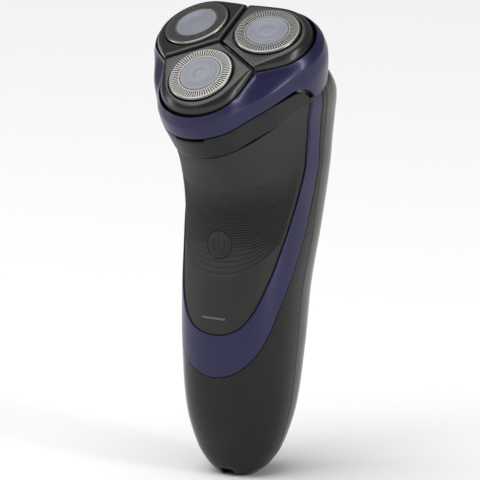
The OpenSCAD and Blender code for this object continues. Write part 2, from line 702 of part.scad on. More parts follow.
// outline of a petal about its head: round outside, straight to the notches, straight along the grooves
notch_u = notch_r * cos(60) - ring_circle_r;
notch_v = notch_r * sin(60);
notch_angle = atan2(notch_v, notch_u);
notch_reach = norm([notch_u, notch_v]);
tangent_angle = notch_angle - acos(petal_r / notch_reach);
groove_reach = ring_circle_r * sin(60) - groove_w / 2;
function petal_edge(angle, inset) =
    let (a = abs(angle))
    a <= tangent_angle ? petal_r - inset
    : min((petal_r - inset) / max(cos(a - tangent_angle), 0.3),
        (groove_reach - inset) / max(cos(a - 150), 0.3));
// the rim of the shaving unit follows the petals' outer edges
rim_steps = 8;
rim_depth_low = 5.3;
rim_depth_high = 2.4;
function rim_point(i, t) =
    let (a = t * notch_angle, r = petal_edge(a, -rim_gap), b = ring_angles[i])
    [ring_circle_r * cos(b) + r * cos(a + b), ring_circle_r * sin(b) + r * sin(a + b),
        -mix(rim_depth_low, rim_depth_high, pow(abs(t), 3))];
rim = [for (i = [0 : 2], k = [-rim_steps : rim_steps - 1]) rim_point(i, (k + 0.5) / rim_steps)];
function polar(r, a, h) = [r * cos(a), r * sin(a), h];
// one row of the housing's outside between the rim (0) and its widest line (1)
function shoulder_row(t) =
    [for (p = rim) let (a = atan2(p[1], p[0]), r = norm([p[0], p[1]]), dip = (p[2] + rim_depth_low) / 3)
        polar(mix(r, head_radius(a, 9.5), pow(sin(90 * t), 1 + 0.8 * dip)), a, mix(p[2], -9.5, t))];
function skirt_row(depth, inset) =
    [for (p = rim) let (a = atan2(p[1], p[0])) polar(head_radius(a, depth) - inset, a, -depth)];
skirt_low = seam_depth - joint_gap;
function rim_row(h) = [for (p = rim) [p[0], p[1], min(p[2], h)]];
// side view of the space that the release collar takes: forward of this line and below the lip
module collar_space(grow) {
    rotate([90, 0, 90]) translate([0, 0, -40]) linear_extrude(80) polygon([
        [-60, -lip_depth + grow], [-3.4, -lip_depth + grow], [-1.2 + grow, -lip_depth - 0.8],
        [0.8 + grow, -lip_depth - 2.8], [1.9 + grow, -lip_depth - 5.6], [2.4 + grow, -seam_depth - 6],
        [-60, -seam_depth - 6]
    ]);
}
module head_housing() color(INDIGO) {
    in_head() difference() {
        union() {
            ring_solid([
                skirt_row(skirt_low, 0), skirt_row(18, 0), skirt_row(15.5, 0), skirt_row(13.3, 0),
                    skirt_row(11.4, 0),
                shoulder_row(1), shoulder_row(0.75), shoulder_row(0.5), shoulder_row(0.25), rim_row(0),
                rim_row(-carrier_depth - 2.6), skirt_row(carrier_depth + 3.4, housing_wall),
                skirt_row(18, housing_wall), skirt_row(skirt_low, housing_wall)
            ]);
            bridge();
            for (x = [-hinge_x, hinge_x]) hinge_lug(x);
        }
        collar_space(0);
        translate([0, 0, -30]) cylinder(r = knob_stem_r + shaft_gap, h = 40);
    }
}
knob_stem_r = 1.6;
// three arms under the grooves carry the hub of the carrier's lock
module bridge() {
    translate([0, 0, bridge_h]) linear_extrude(bridge_t) {
        circle(r = 3.4);
        for (a = notch_angles) rotate(a) translate([0, -1.1]) square([notch_r + 1.6, 2.2]);
    }
}
pin_w = (hinge_y + head_reach) * cos(head_tilt) + (hinge_z - head_z) * sin(head_tilt);
pin_h = -(hinge_y + head_reach) * sin(head_tilt) + (hinge_z - head_z) * cos(head_tilt);
module hinge_lug(x) {
    difference() {
        union() {
            translate([x - lug_w / 2, pin_w, pin_h]) rotate([0, 90, 0])
                cylinder(r = lug_eye_r, h = lug_w);
            translate([x - lug_w / 2, pin_w - lug_eye_r - 0.4, pin_h])
                cube([lug_w, lug_eye_r + 0.8, -pin_h - 19]);
        }
        translate([x - 5, pin_w, pin_h]) rotate([0, 90, 0])
            cylinder(r = hinge_pin_r + shaft_gap, h = 10);
    }
}
collar_top = lip_depth + joint_gap;
// depth and inset of the corners of the collar's section
collar_profile = [[skirt_low, 0], [18, 0], [collar_top + 0.7, 0], [collar_top, 0.5],
    [collar_top, collar_wall],
    [18, collar_wall], [skirt_low, collar_wall]];
// side view of the collar: its upper edge falls away towards its two ends
module collar_side() {
    slide = release_travel + 0.35;
    rotate([90, 0, 90]) translate([0, 0, -40]) linear_extrude(80) polygon([
        [-60, -collar_top], [-13.6, -collar_top], [-1.85 - slide, -collar_top - 1.5],
        [-0.75 - slide, -collar_top - 2.8], [0.7 - slide, -collar_top - 4.8],
        [1.5 - slide, -collar_top - 6.4], [2 - slide, -seam_depth - 6], [-60, -seam_depth - 6]
    ]);
}
module release_collar() color(SATIN_GREY) {
    in_head() difference() {
        stacked_solid([for (a = [150 : 6 : 390]) [for (p = collar_profile)
            polar(head_radius(a, p[0]) - p[1], a, -p[0])]]);
        difference() {
            translate([-50, -50, -50]) cube([100, 100, 60]);
            collar_side();
        }
        notch_slot();
    }
}
module notch_slot() {
    translate([-5.2, -40, -lip_depth - joint_gap - 1]) cube([10.4, 12, 1.2]);
}

// ---- petals, carrier and lock ----
skirt_angle = 100;                       // a petal has a skirt out to this angle on each side
petal_low = -coupling_depth - 1.2;       // lower edge of the skirt in the frame of its head
petal_angles = [-180 : 7.5 : 172.5];
function outside(a) = abs(a) <= skirt_angle;
function roll_width(a) = outside(a) ? 3 : 1;
function roll_drop(a) = outside(a) ? 4.4 - 1.6 * rounded_step((abs(a) - 60) / 40) : 0.8;
function petal_skin(a) = outside(a) ? 1.1 : 0.6;
function skirt_low_z(a) = outside(a) ? petal_low : petal_top - petal_wall - 0.9;
function petal_row(kind, t = 0) =
    [for (a = petal_angles)
        let (
            inset = kind == "roll" ? roll_width(a) * (1 - cos(t)) : kind == "inner" ? petal_skin(a)
                : kind == "under" ? petal_skin(a) + roll_width(a) * 0.5 : 0,
            r = kind == "hole" ? cap_r - 0.8 : petal_edge(a, inset),
            z = kind == "roll" ? petal_top - roll_drop(a) * (1 - sin(t)) : kind == "hole" ? t
                : kind == "under" ? petal_top - petal_wall : t == 0 ? skirt_low_z(a)
                : min(petal_top - petal_wall - 0.3, petal_top - roll_drop(a) - 0.2)
        )
        [r * cos(a), r * sin(a), z]];
module petal(i) color([0.09, 0.09, 0.09]) {
    at_ring(i) {
        difference() {
            ring_solid(concat(
                [petal_row("outer")],
                [for (t = [0 : 22.5 : 90]) petal_row("roll", t)],
                [petal_row("hole", petal_top), petal_row("hole", petal_top - petal_wall),
                    petal_row("under"), petal_row("inner", 1), petal_row("inner")]
            ));
            translate([0, 0, petal_top - petal_wall - 1]) cylinder(r = cap_r + cap_gap, h = 5);
        }
        for (s = [-1, 1]) translate([0, s * 13.25, -coupling_depth]) rotate([90, 0, 0])
            cylinder(r = trunnion_r, h = 2.3, center = true);
    }
}
module head_carrier() color(FRAME_GREY) {
    difference() {
        union() {
            in_head() translate([0, 0, -carrier_depth - carrier_t - 0.05]) {
                cylinder(r = 9, h = carrier_t);
                for (i = [0 : 2]) rotate([0, 0, ring_angles[i]]) translate([spindle_r, 0, 0])
                    cylinder(r = 12.5, h = carrier_t);
            }
            for (i = [0 : 2], s = [-1, 1]) at_ring(i)
                translate([0, s * 12.3, -coupling_depth]) rotate([90, 0, 0])
                cylinder(r = 1.8, h = 1.6, center = true);
        }
        for (i = [0 : 2]) {
            at_spindle(i) translate([0, 0, -20]) cylinder(r = 6.5, h = 20);
            at_ring(i) translate([0, 0, -coupling_depth]) rotate([90, 0, 0])
                cylinder(r = trunnion_r + shaft_gap, h = 30, center = true);
        }
        in_head() translate([0, 0, -30]) cylinder(r = knob_stem_r + shaft_gap, h = 40);
    }
}
module carrier_lock() color(SATIN_GREY) {
    in_head() {
        translate([0, 0, bridge_h + bridge_t + 0.05]) cylinder(r = 2.7, h = 0.8);
        translate([0, 0, -carrier_depth - carrier_t - 1])
            cylinder(r = knob_stem_r, h = carrier_t + bridge_t + 1.2);
        translate([0, 0, -carrier_depth - carrier_t - 1.1]) cylinder(r = 4.6, h = 1);
        translate([-4.2, -0.9, -carrier_depth - carrier_t - 4]) cube([8.4, 1.8, 3.2]);
    }
}

// ---- pop-up trimmer in the back ----
trimmer_in = 4.5;                              // depth of its hinge below the back surface
trimmer_pin_r = 0.8;
trimmer_axis_y = handle_point(90, trimmer_z)[1] - trimmer_in;
comb_face = 1.5;                               // outer face of the comb behind the hinge
comb_t = 0.5;
tooth_len = 2.4;
trimmer_gap = 0.25;
module at_trimmer() {
    translate([0, trimmer_axis_y, trimmer_z]) children();
}
module along_trimmer(r, w) {
    translate([-w / 2, 0, 0]) rotate([0, 90, 0]) cylinder(r = r, h = w);
}
// the door's lower edge rolls inside a round of the shell about the hinge
module trimmer_opening() {
    w = trimmer_w + 2 * trimmer_gap;
    at_trimmer() {
        translate([-w / 2, -2.5, 0]) cube([w, 20, trimmer_h + tooth_len + 0.5]);
        along_trimmer(trimmer_in + trimmer_gap, w);
    }
}
module trimmer_bosses() {
    at_trimmer() for (s = [-1, 1]) translate([s * (trimmer_w / 2 + 1.6) - 1, -2, -2]) cube([2, 2.6, 4]);
}
module trimmer_pin() color(STEEL) at_trimmer() along_trimmer(trimmer_pin_r, trimmer_w + 4.4);
module back_layer(depth) {
    wall_solid([for (z = [trimmer_z - 6 : 3 : trimmer_z + 21])
        concat([for (a = [48 : 7 : 132]) handle_point(a, z, 0.02)],
            [for (a = [132 : -7 : 48]) handle_point(a, z, depth)])]);
}
module trimmer_door() color(BROWN_GREY) {
    difference() {
        union() {
            intersection() {
                back_layer(1.5);
                at_trimmer() union() {
                    translate([-trimmer_w / 2, 0, 0]) cube([trimmer_w, 20, trimmer_h]);
                    along_trimmer(trimmer_in, trimmer_w);
                }
            }
            intersection() {
                back_layer(trimmer_in + 3);
                at_trimmer() translate([-trimmer_w / 2 + 1.3, comb_face - 1.8, 8])
                    cube([trimmer_w - 2.6, 20, trimmer_h - 11]);
            }
            at_trimmer() {
                along_trimmer(trimmer_pin_r + 0.9, trimmer_w - 1);
                translate([-4.6, -0.6, -1]) cube([9.2, trimmer_in - 0.6, 2.4]);
            }
        }
        at_trimmer() {
            along_trimmer(trimmer_pin_r + shaft_gap, 30);
            translate([-15, comb_face - 2 * comb_t - 0.15, trimmer_h - 6.4])
                cube([30, 2 * comb_t + 0.2, 20]);
        }
    }
}
module teeth(count, w, low, high, tooth) {
    pitch = w / count;
    translate([-w / 2, 0]) square([w, low]);
    for (k = [0 : count - 1]) translate([-w / 2 + (k + 0.5) * pitch, low - 0.1])
        polygon([[-tooth * pitch / 2, 0], [tooth * pitch / 2, 0], [tooth * pitch / 3, high - low + 0.1],
            [-tooth * pitch / 3, high - low + 0.1]]);
}
module trimmer_comb() color(STEEL) {
    at_trimmer() translate([0, comb_face, trimmer_h - 6.3]) rotate([90, 0, 0]) linear_extrude(comb_t)
        teeth(comb_teeth, trimmer_w - 3, 5.6, 6.2 + tooth_len, 0.55);
}
module trimmer_blade() color(STEEL) {
    at_trimmer() translate([0, comb_face - comb_t - 0.05, trimmer_h - 5.4]) rotate([90, 0, 0])
        linear_extrude(comb_t)
        teeth(floor(comb_teeth * 0.66), trimmer_w - 4.8, 4.6, 4.9 + tooth_len, 0.5);
}
switch_z = 93.5;
switch_lean = atan((curve(section_heights, section_backs, switch_z + 4) - curve(section_heights,
    section_backs, switch_z - 4)) / 8);
module at_switch() {
    translate([0, handle_point(90, switch_z)[1], switch_z]) rotate([-switch_lean, 0, 0]) children();
}
module switch_opening() {
    at_switch() {
        translate([-6.6, -1.5, -4.1 - switch_travel - 0.2]) cube([13.2, 6, 8.4 + switch_travel + 0.3]);
        translate([-2.6, -8, -2.1 - switch_travel - 0.2]) cube([5.2, 10, 4.2 + switch_travel + 0.4]);
    }
}
module trimmer_switch() color(SATIN_GREY) {
    at_switch() {
        difference() {
            translate([-6.2, -1.42, -3.9]) cube([12.4, 2, 7.8]);
            for (z = [-2.4 : 1.2 : 2.5]) translate([-4.5, 0.3, z - 0.25]) cube([9, 1, 0.5]);
        }
        translate([-2.4, -4.2, -2]) cube([4.8, 3, 4]);
        translate([-4, -4.2, -2]) cube([8, 1.2, 4]);
    }
}

// ---- charging inlet ----
module stadium(half_l, half_w, h) {
    for (s = [-1, 1]) translate([s * (half_l - half_w), 0, 0]) cylinder(r = half_w, h = h);
    translate([-(half_l - half_w), -half_w, 0]) cube([2 * (half_l - half_w), 2 * half_w, h]);
}
module inlet_notch() {
    translate([-2.3, -12, -1]) cube([4.6, 14, 2.6]);
}
module charging_socket() color(GLOSS_BLACK) {
    difference() {
        union() {
            stacked_solid([for (z = [0, 1.2, 3, 5.5])
                [for (a = [0 : 12 : 348]) handle_point(a, z, wall_at(z) + 0.35)]]);
            translate([0, 0, 5.4]) stadium(inlet_half_l + 1.4, inlet_half_w + 1.4, inlet_depth - 3.2);
            translate([-5, spine_y - 2.5, 12]) cube([10, 2.4, 6]);
            translate([-5, spine_y - 2.5, 9.8]) cube([10, 6, 4.15]);
        }
        translate([0, 0, -1]) stadium(inlet_half_l, inlet_half_w, inlet_depth + 1);
        inlet_notch();
        for (s = [-1, 1]) translate([s * contact_x, 0, inlet_depth - 0.5])
            cylinder(r = contact_foot_r + 0.02, h = 12);
    }
}
// a wider foot behind the floor of the recess holds each pin
contact_foot_r = contact_r + 0.35;
contact_foot_len = 3.5;
module inlet_pins() color(STEEL) {
    for (s = [-1, 1]) translate([s * contact_x, 0, inlet_depth]) {
        translate([0, 0, -contact_len]) cylinder(r = contact_r, h = contact_len + 0.1);
        cylinder(r = contact_foot_r, h = contact_foot_len);
    }
}

front_shell();
rear_shell();
grip_panel();
accent_band();
charge_light();
power_button();
button_switch();
circuit_board();
board_screws();
inner_frame();
battery_cell();
motor();
gear_plate();
gear_pins();
deck_screws();
drive_deck();
hair_chamber();
motor_pinion();
drive_gear(0);  // drive_gear_1
drive_gear(1);  // drive_gear_2
drive_gear(2);  // drive_gear_3
drive_spindle(0);  // drive_spindle_1
drive_spindle(1);  // drive_spindle_2
drive_spindle(2);  // drive_spindle_3
hinge_pin();
head_housing();
release_collar();
head_carrier();
carrier_lock();
petal(0);  // petal_1
petal(1);  // petal_2
petal(2);  // petal_3
shaving_cap(0);  // shaving_cap_1
shaving_cap(1);  // shaving_cap_2
shaving_cap(2);  // shaving_cap_3
cap_disc(0);  // cap_disc_1
cap_disc(1);  // cap_disc_2
cap_disc(2);  // cap_disc_3
cutter(0);  // cutter_1
cutter(1);  // cutter_2
cutter(2);  // cutter_3
trimmer_door();
trimmer_comb();
trimmer_blade();
trimmer_pin();
trimmer_switch();
charging_socket();
inlet_pins();
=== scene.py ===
"""Rotary electric shaver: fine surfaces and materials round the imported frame.

The frame is in metres, with +Z up and the button side towards -Y. Shapes here are
worked out in millimetres and degrees, and build() turns them into metres.
"""

import json
import math

import bpy
import mathutils
import numpy as np
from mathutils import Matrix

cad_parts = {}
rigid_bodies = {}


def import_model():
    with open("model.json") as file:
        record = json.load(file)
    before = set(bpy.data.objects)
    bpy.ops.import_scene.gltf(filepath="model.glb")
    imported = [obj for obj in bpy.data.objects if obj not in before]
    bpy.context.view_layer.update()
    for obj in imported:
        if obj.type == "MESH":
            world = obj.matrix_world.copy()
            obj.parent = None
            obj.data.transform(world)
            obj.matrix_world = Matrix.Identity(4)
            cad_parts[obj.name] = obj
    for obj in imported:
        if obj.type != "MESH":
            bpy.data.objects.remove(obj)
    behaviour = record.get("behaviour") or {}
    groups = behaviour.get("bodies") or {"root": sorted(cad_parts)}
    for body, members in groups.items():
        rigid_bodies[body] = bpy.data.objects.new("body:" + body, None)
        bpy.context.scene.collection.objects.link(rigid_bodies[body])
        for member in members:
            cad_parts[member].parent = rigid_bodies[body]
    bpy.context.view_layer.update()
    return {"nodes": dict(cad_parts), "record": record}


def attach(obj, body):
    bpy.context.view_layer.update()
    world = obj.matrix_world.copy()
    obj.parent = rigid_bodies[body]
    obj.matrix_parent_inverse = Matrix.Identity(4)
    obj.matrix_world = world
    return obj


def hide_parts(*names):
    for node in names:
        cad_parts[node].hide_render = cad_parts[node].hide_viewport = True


for leftover in list(bpy.data.objects):
    bpy.data.objects.remove(leftover)
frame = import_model()
NODES = frame["nodes"]

# ---- sections of the handle -------------------------------------------------
# The handle's cross-sections are super-ellipses. Half width, front line, back line
# and taper follow smooth curves through the stations.
HEIGHTS = [0, 3, 9, 22, 42, 62, 80, 92, 102, 110, 118, 126, 131, 135, 138]
HALF_WIDTHS = [6, 9.6, 13.8, 17.5, 19.2, 19.9, 21.5, 22, 22.4, 22.3, 23.4, 25.3, 25, 23.5, 20.5]
FRONTS = [-6.5, -9.5, -12, -15.7, -17.3, -17, -13.5, -15.2, -20, -26.9, -31.5, -33, -33.3, -33.5, -33.5]
BACKS = [6.2, 8.9, 11.6, 17, 21.5, 25, 28.6, 31.6, 32.7, 32.9, 33.2, 31.6, 28.5, 24.5, 20]
TAPERS = [0, 0, 0, 0, 0, 0, 0, 0.05, 0.15, 0.27, 0.28, 0.25, 0.25, 0.25, 0.25]
POWER = 2.3        # exponent of the super-ellipses
MIDDLE = 0.52      # place of their widest line between front and back
JOINT_HEIGHTS, JOINT_ANGLES = [0, 60, 85, 96, 104, 111, 124], [1, 2, 3.4, 7.4, 13.4, 16.6, 15.4]
HEAD_REACH, HEAD_Z, TILT = 11.74, 144.6, math.radians(31.2)
SEAM_DEPTH, LIP_DEPTH = 23.0, 13.3
LEVEL_Z, SIDE_TOP = 78.0, 126.0      # rows are level up to the first, and lean up to the second
RECESS, PROUD, SEAT = 1.4, 0.5, 1.05  # depths of the recess, of the grip's face and of its back
GAP = 0.12                           # joint between the shells


def curve(xs, vs, x):
    """Smooth curve through (xs, vs), with the slopes g taken from the neighbours.

    v0(1 + 2t)(1 - t)^2 + g0 w t(1 - t)^2 + v1 t^2(3 - 2t) - g1 w t^2(1 - t) over a span of width w.
    """
    xs, vs, x = np.asarray(xs, float), np.asarray(vs, float), np.asarray(x, float)
    g = np.empty_like(vs)
    g[1:-1] = (vs[2:] - vs[:-2]) / (xs[2:] - xs[:-2])
    g[0] = (vs[1] - vs[0]) / (xs[1] - xs[0])
    g[-1] = (vs[-1] - vs[-2]) / (xs[-1] - xs[-2])
    i = np.clip(np.searchsorted(xs, x, side="right") - 1, 0, len(xs) - 2)
    w = xs[i + 1] - xs[i]
    t = (x - xs[i]) / w
    return (
        vs[i] * (1 + 2 * t) * (1 - t) ** 2
        + g[i] * w * t * (1 - t) ** 2
        + vs[i + 1] * t * t * (3 - 2 * t)
        - g[i + 1] * w * t * t * (1 - t)
    )


def step(x, a, b):
    """Rises smoothly from 0 at a to 1 at b: 3t^2 - 2t^3."""
    t = np.clip((np.asarray(x, float) - a) / (b - a), 0, 1)
    return t * t * (3 - 2 * t)


def same_shape(*values):
    """The values as number arrays of one shape."""
    return np.broadcast_arrays(*(np.asarray(v, float) for v in values))


def section(z, d):
    """Half width, front, back, taper and middle line of the section at a height, sunk by d."""
    a = curve(HEIGHTS, HALF_WIDTHS, z) - d
    f = curve(HEIGHTS, FRONTS, z) + d
    b = curve(HEIGHTS, BACKS, z) - d
    return a, f, b, curve(HEIGHTS, TAPERS, z), f + (b - f) * MIDDLE


def skin(angle, z, d=0.0):
    """Point of the handle's surface at an angle and a height, sunk by d.

    x = a|cos|^(2/n) (1 + k(y - yc)/h) and y = yc + reach |sin|^(2/n), where the reach is
    the distance from the middle line to the front or to the back.
    """
    angle, z, d = same_shape(angle, z, d)
    a, f, b, k, yc = section(z, d)
    c, s = np.cos(np.radians(angle)), np.sin(np.radians(angle))
    c = np.sign(c) * np.abs(c) ** (2 / POWER)
    s = np.sign(s) * np.abs(s) ** (2 / POWER)
    y = yc + s * np.where(s > 0, b - yc, yc - f)
    return np.stack([a * c * (1 + k * (y - yc) / ((b - f) / 2)), y, z], axis=-1)


def front_point(x, z, d=0.0):
    """Surface point at a place of the front view, sunk by d: y = yc - (yc - f)(1 - |x/a|^n)^(1/n)."""
    x, z, d = same_shape(x, z, d)
    a, f, _, _, yc = section(z, d)
    return np.stack([x, yc - (yc - f) * (1 - np.abs(x / a) ** POWER) ** (1 / POWER), z], axis=-1)


def head_height(p):
    """Height above the head plane: -(y + reach) sin(tilt) + (z - z0) cos(tilt)."""
    return -(p[..., 1] + HEAD_REACH) * math.sin(TILT) + (p[..., 2] - HEAD_Z) * math.cos(TILT)


def top_at(angle, d=0.0, h=-SEAM_DEPTH):
    """Height at which the sunk surface passes the plane h below the heads, by halving a range."""
    angle, d = same_shape(angle, d)
    lo, hi = np.full(angle.shape, 90.0), np.full(angle.shape, 138.0)
    for _ in range(22):
        mid = (lo + hi) / 2
        over = head_height(skin(angle, mid, d)) > h
        hi, lo = np.where(over, mid, hi), np.where(over, lo, mid)
    return (lo + hi) / 2


def leaned(angle, z, d=0.0):
    """Surface point of a row that is level up to 78 mm and leans to the joint plane at 126.

    z' = 78 + (top - 78)(z - 78) / 48
    """
    angle, z, d = same_shape(angle, z, d)
    high = z > LEVEL_Z
    out = z.astype(float).copy()
    if high.any():
        top = top_at(angle[high], d[high])
        out[high] = LEVEL_Z + (top - LEVEL_Z) * (z[high] - LEVEL_Z) / (SIDE_TOP - LEVEL_Z)
    return skin(angle, out, d)


def joint_angle(z):
    """Degrees behind the side at which the front shell meets the rear shell."""
    return curve(JOINT_HEIGHTS, JOINT_ANGLES, z)


def wall(z):
    """Wall of the shells: 1.1 mm at the tip, 2.4 mm from 7 mm up."""
    return 1.1 + 1.3 * step(z, 0, 7)


def in_head(p):
    """From the head frame to the shaver: turn by the tilt about X, then move to the head's middle.

    In the head frame u runs across, w back and h up.
    """
    u, w, h = p[..., 0], p[..., 1], p[..., 2]
    y = -HEAD_REACH + w * math.cos(TILT) - h * math.sin(TILT)
    z = HEAD_Z + w * math.sin(TILT) + h * math.cos(TILT)
    return np.stack([u, y, z], axis=-1)


# ---- meshes -------------------------------------------------------------------
def grid_faces(rows, cols, wrap_rows, wrap_cols):
    """Quads between neighbouring points of a rows by cols grid."""
    i = np.arange(rows if wrap_rows else rows - 1)[:, None]
    j = np.arange(cols if wrap_cols else cols - 1)[None, :]
    k, l = (i + 1) % rows, (j + 1) % cols
    return np.stack([i * cols + j, i * cols + l, k * cols + l, k * cols + j], axis=-1).reshape(-1, 4)


def build(name, points, faces, smooth=True, sharp=None):
    """Object at the origin from points in millimetres and an array of faces."""
    mesh = bpy.data.meshes.new(name)
    mesh.from_pydata((np.asarray(points).reshape(-1, 3) / 1000).tolist(), [], np.asarray(faces).tolist())
    mesh.validate()
    mesh.polygons.foreach_set("use_smooth", np.full(len(mesh.polygons), smooth))
    if sharp:
        mesh.set_sharp_from_angle(angle=math.radians(sharp))
    mesh.update()
    obj = bpy.data.objects.new(name, mesh)
    bpy.context.scene.collection.objects.link(obj)
    return obj


def ring_body(name, rows, sharp):
    """Closed band: the rows are closed loops and the last one meets the first."""
    return build(name, rows, grid_faces(rows.shape[0], rows.shape[1], True, True), sharp=sharp)


def wall_body(name, rows, sharp=None):
    """Closed wall: each row is an outer half and the reversed inner half.

    The first and the last row are closed by strips between the halves.
    """
    rows = np.asarray(rows)
    r, c = rows.shape[:2]
    faces = [grid_faces(r, c, False, True)]
    j = np.arange(c // 2 - 1)
    low = np.stack([j, c - 1 - j, c - 2 - j, j + 1], axis=-1)
    faces += [low, (low + (r - 1) * c)[:, ::-1]]
    return build(name, rows, np.concatenate(faces), sharp=sharp)


def disc_body(name, rows, sharp=35):
    """Solid of closed rows whose first and last row are capped by a single face."""
    rows = np.asarray(rows)
    r, c = rows.shape[:2]
    faces = grid_faces(r, c, False, True).tolist()
    faces += [list(range(c - 1, -1, -1)), [(r - 1) * c + j for j in range(c)]]
    mesh = bpy.data.meshes.new(name)
    mesh.from_pydata((rows.reshape(-1, 3) / 1000).tolist(), [], faces)
    mesh.polygons.foreach_set("use_smooth", np.full(len(mesh.polygons), True))
    mesh.set_sharp_from_angle(angle=math.radians(sharp))
    mesh.update()
    obj = bpy.data.objects.new(name, mesh)
    bpy.context.scene.collection.objects.link(obj)
    return obj


def outward(obj):
    """Turns the faces so that the solid's volume is positive."""
    m = obj.data
    m.calc_loop_triangles()
    v = np.empty(len(m.vertices) * 3)
    m.vertices.foreach_get("co", v)
    v = v.reshape(-1, 3)
    t = np.empty(len(m.loop_triangles) * 3, dtype=int)
    m.loop_triangles.foreach_get("vertices", t)
    a, b, c = (v[t.reshape(-1, 3)[:, i]] for i in range(3))
    if np.einsum("ij,ij->i", a, np.cross(b, c)).sum() < 0:
        m.flip_normals()
    return obj


def dress(obj, material, body, slot, *nodes):
    """Gives a piece its material and its body, and hides the node that it stands for. The slot argument is
    not used.
    """
    outward(obj)
    obj.data.materials.clear()
    obj.data.materials.append(material)
    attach(obj, body)
    if nodes:
        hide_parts(*nodes)


def block(name, lo, hi, place=None):
    """Box between two corners in millimetres, put in place by a function of its points."""
    lo, hi = np.array(lo, float), np.array(hi, float)
    c = np.array([[0, 0, 0], [1, 0, 0], [1, 1, 0], [0, 1, 0], [0, 0, 1], [1, 0, 1], [1, 1, 1], [0, 1, 1]])
    f = [[0, 3, 2, 1], [4, 5, 6, 7], [0, 1, 5, 4], [1, 2, 6, 5], [2, 3, 7, 6], [3, 0, 4, 7]]
    points = lo + c * (hi - lo)
    return build(name, place(points) if place else points, f, smooth=False)


def bar(name, x0, x1, y, z, r):
    """Round bar along X from x0 to x1."""
    a = np.radians(np.arange(72) * 5.0)
    ring = np.stack([np.zeros(72), y + r * np.cos(a), z + r * np.sin(a)], axis=-1)
    return disc_body(name, np.stack([ring + [x0, 0, 0], ring + [x1, 0, 0]]))


def cut(obj, *tools):
    """Takes the tools' volumes out of the object and deletes the tools."""
    for tool in tools:
        outward(tool)
        m = obj.modifiers.new("cut", "BOOLEAN")
        m.operation, m.solver, m.object = "DIFFERENCE", "EXACT", tool
    dg = bpy.context.evaluated_depsgraph_get()
    mesh = bpy.data.meshes.new_from_object(obj.evaluated_get(dg))
    obj.modifiers.clear()
    obj.data = mesh
    mesh.set_sharp_from_angle(angle=math.radians(35))
    for tool in tools:
        bpy.data.objects.remove(tool)
    return obj


def prism(name, x, z, y0, y1):
    """Outline of the front view carried from y0 to y1."""
    x, z = np.asarray(x, float), np.asarray(z, float)
    ends = [np.stack([x, np.full(x.shape, float(y)), z], axis=-1) for y in (y0, y1)]
    return disc_body(name, np.stack(ends))


def two_tone(obj, flags, second):
    """Gives a second material to the quads whose four points are all flagged."""
    obj.data.materials.append(second)
    corner = np.empty(len(obj.data.loops), dtype=int)
    obj.data.loops.foreach_get("vertex_index", corner)
    marked = np.asarray(flags).reshape(-1)[corner.reshape(-1, 4)].all(axis=1)
    obj.data.polygons.foreach_set("material_index", marked.astype(int))
    obj.data.update()


def edge_round(r, n=5):
    """Distances x from an edge and depths of a quarter round: r(1 - sqrt(1 - (1 - x/r)^2))."""
    t = np.linspace(0, 90, n)
    return r * (1 - np.cos(np.radians(t))), r * (1 - np.sin(np.radians(t)))


# ---- materials ----------------------------------------------------------------
def material(name, color, rough, metallic=0.0, coat=0.0, grain=0.0, scale=900.0, flake=0.0, ior=1.5):
    """Principled material by object coordinates: slow changes of roughness, fine grain, metal flakes."""
    m = bpy.data.materials.new(name)
    m.use_nodes = True
    n, l = m.node_tree.nodes, m.node_tree.links
    p = n["Principled BSDF"]
    p.inputs["Base Color"].default_value = (*color, 1)
    p.inputs["Roughness"].default_value = rough
    p.inputs["Metallic"].default_value = metallic
    p.inputs["IOR"].default_value = ior
    p.inputs["Coat Weight"].default_value = coat
    p.inputs["Coat Roughness"].default_value = 0.06
    where = n.new("ShaderNodeTexCoord")
    noise = n.new("ShaderNodeTexNoise")
    noise.inputs["Scale"].default_value = scale
    noise.inputs["Detail"].default_value = 4
    l.new(where.outputs["Object"], noise.inputs["Vector"])
    slow = n.new("ShaderNodeTexNoise")
    slow.inputs["Scale"].default_value = 60
    slow.inputs["Detail"].default_value = 3
    l.new(where.outputs["Object"], slow.inputs["Vector"])
    spread = n.new("ShaderNodeMapRange")
    spread.inputs["To Min"].default_value = rough * 0.88
    spread.inputs["To Max"].default_value = min(rough * 1.12, 1)
    l.new(slow.outputs["Fac"], spread.inputs["Value"])
    l.new(spread.outputs["Result"], p.inputs["Roughness"])
    if grain:
        bump = n.new("ShaderNodeBump")
        bump.inputs["Strength"].default_value = grain
        bump.inputs["Distance"].default_value = 0.0001
        l.new(noise.outputs["Fac"], bump.inputs["Height"])
        l.new(bump.outputs["Normal"], p.inputs["Normal"])
    if flake:
        cells = n.new("ShaderNodeTexVoronoi")
        cells.inputs["Scale"].default_value = 5200
        l.new(where.outputs["Object"], cells.inputs["Vector"])
        mix = n.new("ShaderNodeMixRGB")
        mix.blend_type = "MIX"
        mix.inputs["Color1"].default_value = (*[c * (1 - flake * 0.5) for c in color], 1)
        mix.inputs["Color2"].default_value = (*[min(c * (1 + flake), 1) for c in color], 1)
        grey = n.new("ShaderNodeSeparateColor")
        l.new(cells.outputs["Color"], grey.inputs["Color"])
        l.new(grey.outputs["Red"], mix.inputs["Fac"])
        l.new(mix.outputs["Color"], p.inputs["Base Color"])
    return m


